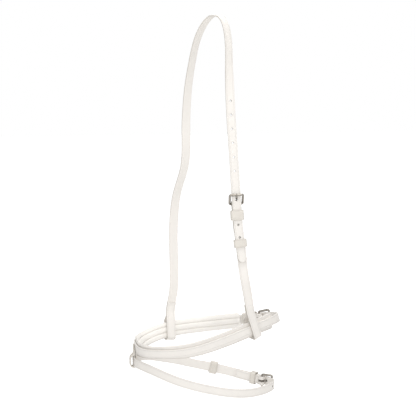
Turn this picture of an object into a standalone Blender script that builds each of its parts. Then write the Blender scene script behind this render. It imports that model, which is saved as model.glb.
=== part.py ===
"""Hanoverian noseband: a sliphead, a padded noseband and a lower strap, each closed by its own buckle.

Row frame: metres, +Z up, -X towards the nose, -Y the near side.
The origin is on the underside of the crown, where the sliphead lies over the poll.
"""
import math

import bmesh
import bpy
import numpy as np
from mathutils import Vector

MM = 0.001

# The whole: length and width of the noseband's loop, and height from the seat down to its front.
NOSE_LONG = 209.2 * MM
NOSE_ACROSS = 152.0 * MM
FRONT_DOWN = 477.2 * MM

# Leather straps.
STRAP_W = 13.0 * MM
NOSE_W = 16.0 * MM
WIDE_FROM = 55.0 * MM
WIDE_TO = 112.0 * MM
STRAP_T = 2.2 * MM
KEEPER_T = 1.5 * MM
EDGE = 0.35 * MM
THREAD_R = 0.3 * MM
STITCH_IN = 1.9 * MM

# Padded base behind the noseband strap: a leather panel, foam and a soft lining.
LINING_H = 23.0 * MM
PANEL_T = 1.2 * MM
LINING_T = 0.9 * MM
ROLL_OUT = 3.7 * MM
ROLL_HALF = 4.3 * MM
MARGIN_OUT = 2.2 * MM
PAD_FROM = 34.0 * MM
PAD_PAST = 40.0 * MM
PAD_END_RUN = 5.0 * MM

# Buckles.
WIRE_R = 1.65 * MM
FRAME_L = 15.0 * MM
FRAME_SIDE = 1.3 * MM
TONGUE_R = 0.9 * MM
PRONG_ANGLE = math.radians(62.0)
HOLE_R = 1.5 * MM
HOLE_PITCH = 20.0 * MM
LOW_PITCH = 18.0 * MM

# Clearances.
GAP = 0.3 * MM
TWIST_GAP = 0.45 * MM
BAR_CLEAR = 0.3 * MM
RING_CLEAR = 0.25 * MM
PRONG_CLEAR = 0.75 * MM
KEEPER_CLEAR = 0.4 * MM
KEEPER_SIDE = 1.1 * MM
LOOP_CLEAR = 1.5 * MM
FLASH_CLEAR = 0.9 * MM
FLASH_BULGE = 1.7 * MM

# Places along the straps, counted from each buckle's bar.
CROWN_CHAPE = 41.0 * MM
CROWN_BILLET = 84.0 * MM
CROWN_KEEPER_AT = 16.3 * MM
CROWN_KEEPER_L = 14.0 * MM
CROWN_RUNNER_AT = 56.5 * MM
NOSE_CHAPE = 17.5 * MM
NOSE_BILLET = 58.0 * MM
NOSE_KEEPER_AT = 12.5 * MM
NOSE_KEEPER_L = 7.0 * MM
NOSE_RUNNER_AT = 25.5 * MM
LOWER_CHAPE = 45.0 * MM
LOWER_BILLET = 103.0 * MM
LOWER_KEEPER_AT = 17.0 * MM
LOWER_KEEPER_L = 8.5 * MM
LOWER_RUNNER_AT = 80.0 * MM
RUNNER_L = 11.0 * MM
BILLET_RISE = 29.0 * MM
RISE_END = 16.0 * MM
FLASH_W = 12.0 * MM
FLASH_T = 2.0 * MM
SEWN = 25.0 * MM
PRONG_SLOT = 5.0 * MM

LAYER = STRAP_T + GAP
CROWN_FLAT = 5.0 * MM
VIEW = math.radians(-10.0)

THREAD = ((0.90, 0.89, 0.86), 0.7, 0.0)
LEATHER = ((0.86, 0.85, 0.81), 0.48, 0.0)
LINING = ((0.88, 0.87, 0.84), 0.6, 0.0)
FOAM = ((0.80, 0.79, 0.74), 0.9, 0.0)
STEEL = ((0.62, 0.61, 0.59), 0.22, 1.0)

PART = "hanoverian_noseband"
CUT = "cutters"


def start_clean():
    for obj in list(bpy.data.objects):
        bpy.data.objects.remove(obj, do_unlink=True)
    for name in (PART, CUT):
        group = bpy.data.collections.get(name) or bpy.data.collections.new(name)
        if group.name not in bpy.context.scene.collection.children:
            bpy.context.scene.collection.children.link(group)
    bpy.data.collections[CUT].hide_render = True


def unit(v):
    return v / np.linalg.norm(v, axis=-1, keepdims=True)


def flat_dir(angle):
    """A horizontal width direction, given as an angle from the picture plane."""
    h, d = -math.cos(angle), -math.sin(angle)
    c, s = math.cos(-VIEW), math.sin(-VIEW)
    return np.array([h * c + d * s, -h * s + d * c, 0.0])


def place_of(x, y, z):
    """A point of the tables below, drawn for a loop 209.2 by 152 mm whose front hangs 477.2 mm down."""
    return np.array([x * NOSE_LONG / 209.2, y * NOSE_ACROSS / 152.0, z * FRONT_DOWN / 477.2])


def cubic(knots, values, at, closed):
    """Cubic spline through the values at the knots, read at the places asked for."""
    n = len(knots)
    h = np.diff(knots)
    if closed:
        m = n - 1
        a = np.zeros((m, m))
        b = np.zeros((m, values.shape[1]))
        for i in range(m):
            before, after = h[(i - 1) % m], h[i]
            a[i, (i - 1) % m] += before
            a[i, i] += 2.0 * (before + after)
            a[i, (i + 1) % m] += after
            slope_after = (values[(i + 1) % m] - values[i]) / after
            slope_before = (values[i] - values[(i - 1) % m]) / before
            b[i] = 6.0 * (slope_after - slope_before)
        second = np.linalg.solve(a, b)
        second = np.vstack([second, second[:1]])
    else:
        a = np.eye(n)
        b = np.zeros((n, values.shape[1]))
        for i in range(1, n - 1):
            a[i, i - 1] = h[i - 1]
            a[i, i] = 2.0 * (h[i - 1] + h[i])
            a[i, i + 1] = h[i]
            slope_after = (values[i + 1] - values[i]) / h[i]
            slope_before = (values[i] - values[i - 1]) / h[i - 1]
            b[i] = 6.0 * (slope_after - slope_before)
        second = np.linalg.solve(a, b)
    k = np.clip(np.searchsorted(knots, at, side="right") - 1, 0, n - 2)
    span = h[k][:, None]
    u = (at - knots[k])[:, None]
    v = span - u
    low, high = second[k], second[k + 1]
    cubic_part = (low * v ** 3 + high * u ** 3) / (6.0 * span)
    linear_part = (values[k] / span - low * span / 6.0) * v + (values[k + 1] / span - high * span / 6.0) * u
    return cubic_part + linear_part


class Route:
    """A smooth line in space with a width direction and an outward direction at every place."""

    def __init__(self, points, widths, side, closed=False):
        points = np.array(points, float)
        widths = unit(np.array(widths, float))
        if closed:
            points = np.vstack([points, points[:1]])
            widths = np.vstack([widths, widths[:1]])
        knots = np.concatenate([[0.0], np.cumsum(np.linalg.norm(np.diff(points, axis=0), axis=1))])
        at = np.linspace(0.0, knots[-1], int(knots[-1] / (0.5 * MM)) + 1)
        self.p = cubic(knots, points, at, closed)
        hint = cubic(knots, widths, at, closed)
        self.closed = closed
        self.side = side
        self.measure(hint)

    def measure(self, hint):
        step = np.linalg.norm(np.diff(self.p, axis=0), axis=1)
        self.s = np.concatenate([[0.0], np.cumsum(step)])
        self.length = float(self.s[-1])
        if self.closed:
            ring = np.vstack([self.p[-2:-1], self.p, self.p[1:2]])
            self.t = unit(ring[2:] - ring[:-2])
        else:
            self.t = unit(np.gradient(self.p, self.s, axis=0))
        self.w = unit(hint - np.sum(hint * self.t, axis=1, keepdims=True) * self.t)
        self.n = self.side * np.cross(self.w, self.t)

    def at(self, s):
        """Place, forward, width and outward directions at a distance along the line."""
        s = np.atleast_1d(np.asarray(s, float))
        if self.closed:
            s = np.mod(s, self.length)
        out = []
        for rows in (self.p, self.t, self.w, self.n):
            out.append(np.stack([np.interp(s, self.s, rows[:, k]) for k in range(3)], axis=1))
        if not self.closed:
            past = (s - np.clip(s, 0.0, self.length))[:, None]
            out[0] = out[0] + past * out[1]
        return out[0], unit(out[1]), unit(out[2]), unit(out[3])

    def spot(self, s, out=0.0, across=0.0):
        p, t, w, n = self.at(s)
        return (p + out * n + across * w)[0]

    def nearest(self, point):
        return float(self.s[np.argmin(np.linalg.norm(self.p - np.asarray(point), axis=1))])


def rounded(corners, closed=False, arc=15.0):
    """Corner points (a, b, radius) joined by straight runs and round bends."""
    pts = [np.array(c[:2], float) for c in corners]
    count = len(pts)
    out = []
    for i, corner in enumerate(corners):
        radius = corner[2] if len(corner) > 2 else 0.0
        if radius <= 0.0 or (not closed and i in (0, count - 1)):
            out.append(pts[i])
            continue
        back = pts[i - 1] - pts[i]
        ahead = pts[(i + 1) % count] - pts[i]
        back_len, ahead_len = np.linalg.norm(back), np.linalg.norm(ahead)
        back, ahead = back / back_len, ahead / ahead_len
        inner = math.acos(max(-1.0, min(1.0, float(back @ ahead))))
        turn = math.pi - inner
        if turn < 1e-4:
            continue
        reach = min(radius * math.tan(turn / 2), 0.5 * back_len, 0.5 * ahead_len)
        radius = reach / math.tan(turn / 2)
        centre = pts[i] + unit(back + ahead) * math.hypot(radius, reach)
        a0 = pts[i] + back * reach - centre
        a1 = pts[i] + ahead * reach - centre
        steps = max(2, int(math.ceil(math.degrees(turn) / arc)))
        for k in range(steps + 1):
            f = k / steps
            mix = (math.sin((1 - f) * turn) * a0 + math.sin(f * turn) * a1) / math.sin(turn) if turn < 3.1 else a0
            out.append(centre + mix)
    return out


def fill_line(pts, step):
    """Adds points so that no straight run is longer than the step."""
    out = [np.asarray(pts[0], float)]
    for a, b in zip(pts[:-1], pts[1:]):
        a, b = np.asarray(a, float), np.asarray(b, float)
        n = max(1, int(math.ceil(np.linalg.norm(b - a) / step)))
        out.extend(a + (b - a) * k / n for k in range(1, n + 1))
    return out


def lay(route, flat, step=8.0 * MM):
    """Carries a line drawn as (along, outward) on to the route; returns places and directions."""
    dense = np.array(fill_line(flat, 0.4 * MM))
    p, t, w, n = route.at(dense[:, 0])
    p = p + dense[:, 1:2] * n
    run = np.concatenate([[0.0], np.cumsum(np.linalg.norm(np.diff(p, axis=0), axis=1))])
    ahead = unit(np.gradient(p, run, axis=0))
    w = unit(w - np.sum(w * ahead, axis=1, keepdims=True) * ahead)
    pick = [0]
    turned = 0.0
    for i in range(1, len(p)):
        turned += math.acos(max(-1.0, min(1.0, float(ahead[i] @ ahead[i - 1]))))
        if run[i] - run[pick[-1]] >= step or turned > math.radians(14.0):
            pick.append(i)
            turned = 0.0
    if run[-1] - run[pick[-1]] < 0.3 * step and len(pick) > 2:
        pick.pop()
    if pick[-1] != len(p) - 1:
        pick.append(len(p) - 1)
    pick = np.array(pick)
    return {"p": p[pick], "t": ahead[pick], "w": w[pick], "run": run[pick], "flat": dense[pick],
            "n": np.cross(w[pick], ahead[pick])}


def material(name, look):
    mat = bpy.data.materials.new(name)
    mat.use_nodes = True
    node = mat.node_tree.nodes["Principled BSDF"]
    node.inputs["Base Color"].default_value = (*look[0], 1.0)
    node.inputs["Roughness"].default_value = look[1]
    node.inputs["Metallic"].default_value = look[2]
    return mat


def place(name, mesh, origin, look):
    """Puts a finished mesh into the part with its origin where the piece is held."""
    origin = Vector([float(v) for v in origin])
    for v in mesh.vertices:
        v.co -= origin
    mesh.materials.clear()
    mesh.materials.append(material(name + "_look", look))
    obj = bpy.data.objects.new(name, mesh)
    obj.location = origin
    bpy.data.collections[PART].objects.link(obj)
    return obj


def wrap(name, rings, closed=False):
    """A skin of one grid carried round every ring in turn; open ends are filled."""
    rings = np.asarray(rings)
    count, sides = rings.shape[0], rings.shape[1]
    rows = count + 1 if closed else count
    bm = bmesh.new()
    bmesh.ops.create_grid(bm, x_segments=rows - 1, y_segments=sides, size=1.0)
    bm.verts.ensure_lookup_table()
    for v in bm.verts:
        i = int(round((v.co.x + 1.0) / 2.0 * (rows - 1))) % count
        k = int(round((v.co.y + 1.0) / 2.0 * sides)) % sides
        v.co = Vector([float(c) for c in rings[i, k]])
    bmesh.ops.remove_doubles(bm, verts=bm.verts, dist=1e-6)
    if not closed:
        bmesh.ops.holes_fill(bm, edges=[e for e in bm.edges if e.is_boundary], sides=0)
    bmesh.ops.recalc_face_normals(bm, faces=bm.faces)
    mesh = bpy.data.meshes.new(name)
    bm.to_mesh(mesh)
    bm.free()
    return mesh


def slab(half_w, half_t, middle=False):
    """Outline of a flat strap with its edges eased; it may have a point in the middle of both faces."""
    e = min(EDGE, 0.4 * half_t)
    right = [(half_w - e, half_t), (half_w, half_t - e), (half_w, -half_t + e), (half_w - e, -half_t)]
    left = [(-half_w + e, -half_t), (-half_w, -half_t + e), (-half_w, half_t - e), (-half_w + e, half_t)]
    return [*right, (0.0, -half_t), *left, (0.0, half_t)] if middle else right + left


def strap_mesh(name, line, width, thick, middle=False):
    """A strap laid along a line; the width is a size or one size for each place."""
    count = len(line["p"])
    width = np.full(count, width) if np.isscalar(width) else np.asarray(width)
    rings = []
    for i in range(count):
        ring = [line["p"][i] + a * line["w"][i] + b * line["n"][i] for a, b in slab(width[i] / 2, thick / 2, middle)]
        rings.append(ring)
    return wrap(name, rings)


def tip_width(run, length, width, at_end=True, radius=0.5):
    """Strap widths with a rounded point at one end."""
    reach = radius * width
    back = (length - run) if at_end else run
    out = np.full(len(run), width)
    near = back < reach
    u = 1.0 - back[near] / reach
    out[near] = width * np.sqrt(np.clip(1.0 - 0.86 * u ** 2, 0.05, 1.0))
    return out


def add_tip_rows(line, width, radius=0.5):
    """Closes up the places at the end of a line so that its rounded point is smooth."""
    length = line["run"][-1]
    wanted = [length - radius * width * f for f in (1.0, 0.7, 0.45, 0.25, 0.1, 0.0)]
    hold = line["run"] < wanted[0] - 1.0 * MM
    runs = np.concatenate([line["run"][hold], wanted])
    out = {"run": runs}
    for key in ("p", "t", "w", "n", "flat"):
        rows = line[key]
        out[key] = np.stack([np.interp(runs, line["run"], rows[:, k]) for k in range(rows.shape[1])], axis=1)
    for key in ("t", "w", "n"):
        out[key] = unit(out[key])
    return out


def ring_mesh(name, centre, along, across, outward, half_w, half_n, length, wall):
    """A flat leather ring standing round a stack of straps."""
    r = wall / 2
    flat = rounded([(half_w + r, half_n + r, 1.3 * MM), (-half_w - r, half_n + r, 1.3 * MM),
                    (-half_w - r, -half_n - r, 1.3 * MM), (half_w + r, -half_n - r, 1.3 * MM)],
                   closed=True, arc=30.0)
    flat = np.array(flat)
    step = unit(np.roll(flat, -1, axis=0) - np.roll(flat, 1, axis=0))
    rings = []
    for (a, b), (da, db) in zip(flat, step):
        p = centre + a * across + b * outward
        normal = -db * across + da * outward
        rings.append([p + u * along + v * normal for u, v in slab(length / 2, wall / 2)])
    return wrap(name, rings, closed=True)


def wire_mesh(name, points, radius, closed, sides=1, taper=None):
    """A round wire along the points, made from a bevelled curve."""
    data = bpy.data.curves.new(name + "_line", "CURVE")
    data.dimensions = "3D"
    data.bevel_depth = radius
    data.bevel_resolution = sides
    data.use_fill_caps = not closed
    spline = data.splines.new("POLY")
    spline.points.add(len(points) - 1)
    for i, p in enumerate(points):
        spline.points[i].co = (float(p[0]), float(p[1]), float(p[2]), 1.0)
        spline.points[i].radius = 1.0 if taper is None else taper[i]
    spline.use_cyclic_u = closed
    obj = bpy.data.objects.new(name + "_line", data)
    bpy.data.collections[CUT].objects.link(obj)
    bpy.context.view_layer.update()
    mesh = bpy.data.meshes.new_from_object(obj.evaluated_get(bpy.context.evaluated_depsgraph_get()))
    bpy.data.objects.remove(obj, do_unlink=True)
    bm = bmesh.new()
    bm.from_mesh(mesh)
    bmesh.ops.remove_doubles(bm, verts=bm.verts, dist=1e-6)
    bmesh.ops.recalc_face_normals(bm, faces=bm.faces)
    bm.to_mesh(mesh)
    bm.free()
    return mesh


def rod_cutter(centre, axis, radius, depth, sides=14):
    bpy.ops.mesh.primitive_cylinder_add(vertices=sides, radius=radius, depth=depth)
    obj = bpy.context.active_object
    obj.rotation_mode = "QUATERNION"
    obj.rotation_quaternion = Vector([float(v) for v in axis]).to_track_quat("Z", "Y")
    obj.location = [float(v) for v in centre]
    return keep_cutter(obj)


def box_cutter(centre, axes, size):
    """A box with its three directions and full sizes given."""
    bpy.ops.mesh.primitive_cube_add(size=1.0)
    obj = bpy.context.active_object
    for v in obj.data.vertices:
        p = sum(float(v.co[k]) * size[k] * np.asarray(axes[k]) for k in range(3)) + np.asarray(centre)
        v.co = Vector([float(c) for c in p])
    if float(np.cross(axes[0], axes[1]) @ np.asarray(axes[2])) < 0:
        obj.data.flip_normals()
    return keep_cutter(obj)


def keep_cutter(obj):
    for group in list(obj.users_collection):
        group.objects.unlink(obj)
    bpy.data.collections[CUT].objects.link(obj)
    obj.hide_render = True
    obj.display_type = "WIRE"
    return obj


def drop_twins(bm):
    """Removes pairs of faces that lie on the same corners, which enclose nothing."""
    seen = {}
    for face in bm.faces:
        seen.setdefault(frozenset(v.index for v in face.verts), []).append(face)
    twins = [face for faces in seen.values() if len(faces) > 1 for face in faces]
    bmesh.ops.delete(bm, geom=twins, context="FACES")


def cut(mesh, cutters):
    """Takes the cutters out of a mesh."""
    obj = bpy.data.objects.new("work", mesh)
    bpy.data.collections[CUT].objects.link(obj)
    for tool in cutters:
        mod = obj.modifiers.new("cut", "BOOLEAN")
        mod.operation = "DIFFERENCE"
        mod.solver = "EXACT"
        mod.object = tool
    bpy.context.view_layer.update()
    out = bpy.data.meshes.new_from_object(obj.evaluated_get(bpy.context.evaluated_depsgraph_get()))
    for tool in [obj, *cutters]:
        bpy.data.objects.remove(tool, do_unlink=True)
    bm = bmesh.new()
    bm.from_mesh(out)
    bmesh.ops.remove_doubles(bm, verts=bm.verts, dist=2e-6)
    bmesh.ops.connect_verts_concave(bm, faces=[f for f in bm.faces if len(f.verts) > 4])
    bmesh.ops.triangulate(bm, faces=[f for f in bm.faces if len(f.verts) > 4], ngon_method="EAR_CLIP")
    drop_twins(bm)
    bmesh.ops.recalc_face_normals(bm, faces=bm.faces)
    bm.to_mesh(out)
    bm.free()
    return out


WRAP_R = WIRE_R + BAR_CLEAR + STRAP_T / 2


def chape(end, nose=False):
    """The end of a strap turned round a buckle bar, drawn as (along, outward); the bar is at along = 0."""
    return [(end, -LAYER), (9.0 * MM, -LAYER, 6.0 * MM), (1.5 * MM, -2 * WRAP_R, 6.0 * MM),
            (-WRAP_R, -2 * WRAP_R, WRAP_R), (-WRAP_R, 0.0, WRAP_R)]


def buckle(prefix, route, bar_s, way, base):
    """Frame and tongue of a buckle; the straps run the given way from the bar, the chape lies at the base height."""
    low = base - WRAP_R
    high = base + LAYER + STRAP_T / 2 + GAP + WIRE_R
    rise = high - low
    reach = math.sqrt(FRAME_L ** 2 - rise ** 2)
    p, t, w, n = [row[0] for row in route.at(bar_s)]
    bar = p + low * n
    front = route.spot(bar_s - way * reach, high)
    across = unit(w)
    ahead = unit((front - bar) - ((front - bar) @ across) * across)
    face = np.cross(across, ahead)
    face = face if face @ n > 0 else -face
    length = float((front - bar) @ ahead)
    half = STRAP_W / 2 + FRAME_SIDE + WIRE_R
    flat = rounded([(half, 0.0, 2.0 * MM), (half, length, 2.2 * MM), (-half, length, 2.2 * MM), (-half, 0.0, 2.0 * MM)],
                   closed=True, arc=22.5)
    points = [bar + a * across + b * ahead for a, b in flat]
    place(prefix + "_buckle_frame", wire_mesh(prefix, points, WIRE_R, True, sides=2), bar, STEEL)

    out = n - (n @ across) * across
    out = unit(out)
    along = np.cross(across, out)
    along = along if along @ (way * t) > 0 else -along
    rho = WIRE_R + RING_CLEAR + TONGUE_R
    leave = math.radians(180.0) + (math.pi / 2 - PRONG_ANGLE)
    flat = []
    for k in range(15):
        a = leave + math.radians(300.0) * (1.0 - k / 14.0)
        flat.append((rho * math.cos(a), rho * math.sin(a)))
    dirs = (math.sin(leave), -math.cos(leave))
    rest_a = float((front - bar) @ along)
    rest_b = float((front - bar) @ out) + WIRE_R + TONGUE_R + 0.1 * MM
    climb = (rest_b - flat[-1][1]) / dirs[1]
    knee = (flat[-1][0] + dirs[0] * climb, rest_b)
    tail = rounded([flat[-1], (*knee, 3.0 * MM), (rest_a - 1.2 * MM, rest_b), ], arc=20.0)
    flat = flat + [tuple(v) for v in tail[1:]]
    points = [bar + a * along + b * out for a, b in flat]
    taper = [1.0] * (len(points) - 1) + [0.7]
    place(prefix + "_buckle_tongue", wire_mesh(prefix, points, TONGUE_R, False, sides=1, taper=taper), bar, STEEL)

    crossing = (base + LAYER - low - flat[14][1]) / dirs[1]
    hole_a = flat[14][0] + dirs[0] * crossing
    spot = bar + hole_a * along + (base + LAYER - low) * out
    aim = dirs[0] * along + dirs[1] * out
    slot_n0 = base - 2 * WRAP_R - STRAP_T
    slot_n1 = base + STRAP_T / 2 + GAP / 2
    slot_s0 = -WRAP_R - STRAP_T
    slot_s1 = PRONG_SLOT
    mid = bar + (slot_s0 + slot_s1) / 2 * along + ((slot_n0 + slot_n1) / 2 - low) * out
    slot = (mid, (across, along, out), (2 * (TONGUE_R + PRONG_CLEAR + 0.15 * MM), slot_s1 - slot_s0, slot_n1 - slot_n0))
    return {"bar": bar, "across": across, "spot": spot, "aim": aim, "slot": slot, "hole_s": way * hole_a,
            "along": along, "out": out}


def keeper(name, route, s, count, top, length, look=LEATHER):
    """A leather ring round some layers of strap; top is the height of the outer layer."""
    p, t, w, n = [row[0] for row in route.at(s)]
    middle = top - (count - 1) * LAYER / 2
    half_n = ((count - 1) * LAYER + STRAP_T) / 2 + KEEPER_CLEAR
    half_w = STRAP_W / 2 + KEEPER_SIDE
    centre = p + middle * n
    place(name, ring_mesh(name, centre, t, w, n, half_w, half_n, length, KEEPER_T), centre, look)
    return centre, t


# The noseband loop: places in millimetres and how far the upper edge leans outward, in degrees.
# It starts at the rear of the off side and runs forward, round the nose and back along the near side.
NOSE_POINTS = [
    (73.0, 41.7, -447.9, -6), (49.2, 58.5, -453.7, 0), (19.2, 69.3, -458.3, 2), (-14.0, 73.0, -461.8, 6),
    (-52.7, 69.8, -466.1, 18), (-81.7, 60.2, -471.8, 34), (-102.4, 44.9, -477.4, 40), (-113.6, 24.4, -478.4, 20),
    (-119.2, -3.0, -477.2, 4), (-115.4, -30.4, -477.6, 23), (-103.4, -50.9, -476.9, 34),
    (-81.7, -66.2, -474.8, 32), (-52.7, -75.8, -470.8, 23), (-14.0, -79.0, -460.2, 16), (19.2, -75.3, -449.5, 10),
    (49.2, -64.5, -440.5, 4), (73.0, -47.7, -436.0, -4), (87.2, -26.5, -435.2, -12), (90.0, -3.0, -438.0, -24),
    (87.2, 20.5, -442.7, -16),
]

# The lower strap loop, in the same order.
LOWER_POINTS = [
    (64.9, 32.3, -537.6, 0), (42.2, 45.5, -533.1, 0), (13.7, 54.1, -526.5, 0), (-18.0, 57.0, -518.8, 0),
    (-51.5, 54.2, -510.0, 0), (-79.8, 46.0, -502.9, 0), (-101.8, 33.2, -498.0, 0), (-117.2, 16.6, -497.8, 0),
    (-122.0, -3.0, -497.2, 0), (-117.2, -22.6, -498.6, 0), (-101.8, -39.2, -503.3, 0), (-79.8, -52.0, -512.1, 0),
    (-51.5, -60.2, -522.0, 0), (-18.0, -63.0, -530.8, 0), (13.7, -60.1, -537.3, 0), (42.2, -51.5, -540.1, 0),
    (64.9, -38.3, -539.5, 0), (79.5, -21.5, -538.6, 0), (84.5, -3.0, -539.2, 0), (79.5, 15.5, -539.4, 0),
]

# The sliphead between the two cheek loops: places and the angle of its width from the picture plane.
OFF_LEG = [
    (-51.6, 72.0, -411.2, 20), (-50.6, 70.9, -387.9, 15), (-51.1, 69.9, -356.9, 14), (-52.0, 68.1, -325.9, 14),
    (-51.3, 64.9, -294.9, 18), (-48.4, 59.3, -263.9, 27), (-44.0, 53.0, -243.5, 31), (-39.2, 47.6, -224.0, 28),
    (-37.0, 44.6, -205.0, 23), (-36.7, 42.9, -185.9, 20), (-36.9, 42.1, -159.5, 23), (-36.1, 40.9, -133.4, 30),
    (-34.5, 38.6, -107.2, 36), (-29.5, 32.1, -67.0, 43), (-25.0, 25.8, -40.9, 45), (-17.7, 16.8, -17.6, 45),
]
NEAR_LEG = [
    (12.2, -17.6, -17.6, 45), (14.0, -23.5, -39.2, 43), (13.6, -28.9, -64.3, 38), (13.2, -35.8, -95.6, 22),
    (13.3, -40.0, -115.3, 13), (13.6, -45.0, -140.3, 8), (14.4, -50.0, -165.2, 8), (15.3, -54.5, -190.2, 8),
    (16.2, -58.7, -215.3, 8), (17.0, -62.9, -240.2, 8), (17.8, -66.6, -261.6, 8), (19.3, -70.4, -291.8, 8),
    (21.5, -72.8, -312.9, 8), (24.3, -75.3, -338.4, 10), (27.6, -77.0, -366.5, 14), (32.4, -77.4, -394.0, 22),
]
CROWN_DIR = unit(np.array([0.62, -0.785, 0.0]))


def loop_route(rows):
    points = np.array([place_of(*row[:3]) for row in rows])
    ahead = unit(np.roll(points, -1, axis=0) - np.roll(points, 1, axis=0))
    widths = []
    for t, row in zip(ahead, rows):
        lean = math.radians(row[3])
        rise = unit(np.array([0.0, 0.0, 1.0]) - t[2] * t)
        outward = np.cross(t, rise)
        widths.append(math.cos(lean) * rise + math.sin(lean) * outward)
    return Route(points, widths, -1.0, closed=True)


NOSE = loop_route(NOSE_POINTS)
LOWER = loop_route(LOWER_POINTS)

# Where the cheek loops hang on the noseband.
OFF_AT = NOSE.nearest(place_of(-58.2, 68.2, -467.0))
NEAR_AT = NOSE.nearest(place_of(43.2, -67.3, -442.0))

PANEL_BACK = STRAP_T / 2 + TWIST_GAP + PANEL_T
LINING_BACK = PANEL_BACK + GAP + LINING_T + ROLL_OUT
OUT_SIDE = STRAP_T / 2 + LOOP_CLEAR + STRAP_T / 2
IN_SIDE = LINING_BACK + LOOP_CLEAR + STRAP_T / 2
DROP = LINING_H / 2 + LOOP_CLEAR + 0.8 * MM + STRAP_T / 2
TAIL = 26.0 * MM
OFF_TILT = math.radians(14.0)
NEAR_TILT = math.radians(9.0)
SPREAD = OUT_SIDE + IN_SIDE


def turned(up, across, angle):
    """Two square directions turned together in their own plane."""
    c, s = math.cos(angle), math.sin(angle)
    return c * up - s * across, c * across + s * up


def sliphead_route():
    """From under the noseband on the off side, over the crown, to under it on the near side."""
    points, widths = [], []
    p, t, w, n = [row[0] for row in NOSE.at(OFF_AT)]
    rise, wide = turned(w, t, OFF_TILT)
    for k in (-TAIL, -13.0 * MM, 0.0, 13.0 * MM, 24.0 * MM):
        points.append(p + (LAYER - IN_SIDE) * n + k * rise)
        widths.append(wide)
    for x, y, z, a in OFF_LEG:
        points.append(place_of(x, y, z))
        widths.append(flat_dir(math.radians(a)))
    side = np.array([CROWN_DIR[1], -CROWN_DIR[0], 0.0])
    for k in (-9.0 * MM, -CROWN_FLAT, 0.0, CROWN_FLAT, 9.0 * MM):
        lift = STRAP_T / 2 - (max(0.0, abs(k) - CROWN_FLAT)) * 0.35
        points.append(CROWN_DIR * k + np.array([0.0, 0.0, lift]))
        widths.append(side)
    for x, y, z, a in NEAR_LEG:
        points.append(place_of(x, y, z))
        widths.append(flat_dir(math.radians(a)))
    p, t, w, n = [row[0] for row in NOSE.at(NEAR_AT)]
    rise, wide = turned(w, t, NEAR_TILT)
    for k in (24.0 * MM, 13.0 * MM, 0.0, -13.0 * MM, -TAIL):
        points.append(p + OUT_SIDE * n + k * rise)
        widths.append(-wide)
    return Route(points, widths, 1.0)


SLIP = sliphead_route()
CROWN_S = SLIP.nearest(np.array([0.0, 0.0, STRAP_T / 2]))
BAR_S = SLIP.nearest(place_of(17.8, -66.6, -261.6))
TURN_END = DROP + SEWN


def settle_crown(route):
    """Makes the top of the crown exactly flat, as the seat that lies over the poll."""
    gap = route.s - CROWN_S
    flat = np.abs(gap) <= CROWN_FLAT + 0.5 * MM
    side = np.array([CROWN_DIR[1], -CROWN_DIR[0], 0.0])
    route.p[flat] = CROWN_DIR * gap[flat][:, None] + np.array([0.0, 0.0, STRAP_T / 2])
    route.t[flat] = CROWN_DIR
    route.w[flat] = side
    route.n[flat] = np.cross(side, CROWN_DIR)


def cheek_loop(at, way, inside):
    """The turned-up end of a cheek, from its sewn end, round the noseband to the outer side.
    Either the inner layer or the outer one leaves the cheek's line to go round the noseband."""
    low, high = (-SPREAD, 0.0) if inside else (-LAYER, SPREAD - LAYER)
    r = STRAP_T / 2 + 1.3 * MM
    top = DROP - 1.0 * MM
    flat = [(at + way * TURN_END, -LAYER)]
    if inside:
        flat += [(at + way * (top + 11.0 * MM), -LAYER, 8.0 * MM), (at + way * top, low, 6.0 * MM)]
    flat += [(at - way * DROP, low, r), (at - way * DROP, high, r)]
    if not inside:
        flat += [(at + way * top, high, 4.0 * MM), (at + way * (top + 6.0 * MM), 0.0, 5.0 * MM)]
    return flat


def build_sliphead():
    off_at = TAIL
    near_at = SLIP.length - TAIL
    settle_crown(SLIP)
    end = BAR_S + CROWN_BILLET
    flat = rounded(cheek_loop(off_at, 1.0, False) + [(off_at + 30.0 * MM, 0.0), (CROWN_S - CROWN_FLAT, 0.0),
                                                   (CROWN_S + CROWN_FLAT, 0.0), (end, 0.0)])
    line = lay(SLIP, flat)
    line = crown_rows(line)
    line = add_tip_rows(line, STRAP_W)
    mesh = strap_mesh("crown_strap", line, tip_width(line["run"], line["run"][-1], STRAP_W), STRAP_T)
    hold = buckle("crown", SLIP, BAR_S, 1.0, -LAYER)
    tools = [rod_cutter(hold["spot"], hold["aim"], TONGUE_R + PRONG_CLEAR, 3.4 * STRAP_T)]
    for k in (-7, -6, -5, -4, -3, -2, 1, 2, 3):
        pitch = HOLE_PITCH if k < 0 else LOW_PITCH
        p, t, w, n = [row[0] for row in SLIP.at(BAR_S + hold["hole_s"] + k * pitch)]
        tools.append(rod_cutter(p, n, HOLE_R, 3 * STRAP_T))
    place("crown_strap", cut(mesh, tools), (0.0, 0.0, 0.0), LEATHER)

    flat = rounded([(a + BAR_S, b - LAYER, *rest) for a, b, *rest in chape(CROWN_CHAPE)]
                   + [(BAR_S + CROWN_BILLET + 6.0 * MM, -LAYER, 60.0 * MM), (BAR_S + CROWN_BILLET + 26.0 * MM, 0.0, 60.0 * MM)]
                   + list(reversed(cheek_loop(near_at, -1.0, True))))
    line = lay(SLIP, flat)
    mesh = strap_mesh("near_cheek_strap", line, STRAP_W, STRAP_T)
    place("near_cheek_strap", cut(mesh, [box_cutter(*hold["slot"])]), hold["bar"], LEATHER)

    keeper("crown_fixed_keeper", SLIP, BAR_S + CROWN_KEEPER_AT, 3, 0.0, CROWN_KEEPER_L)
    keeper("crown_runner", SLIP, BAR_S + CROWN_RUNNER_AT, 2, 0.0, RUNNER_L)


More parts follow.
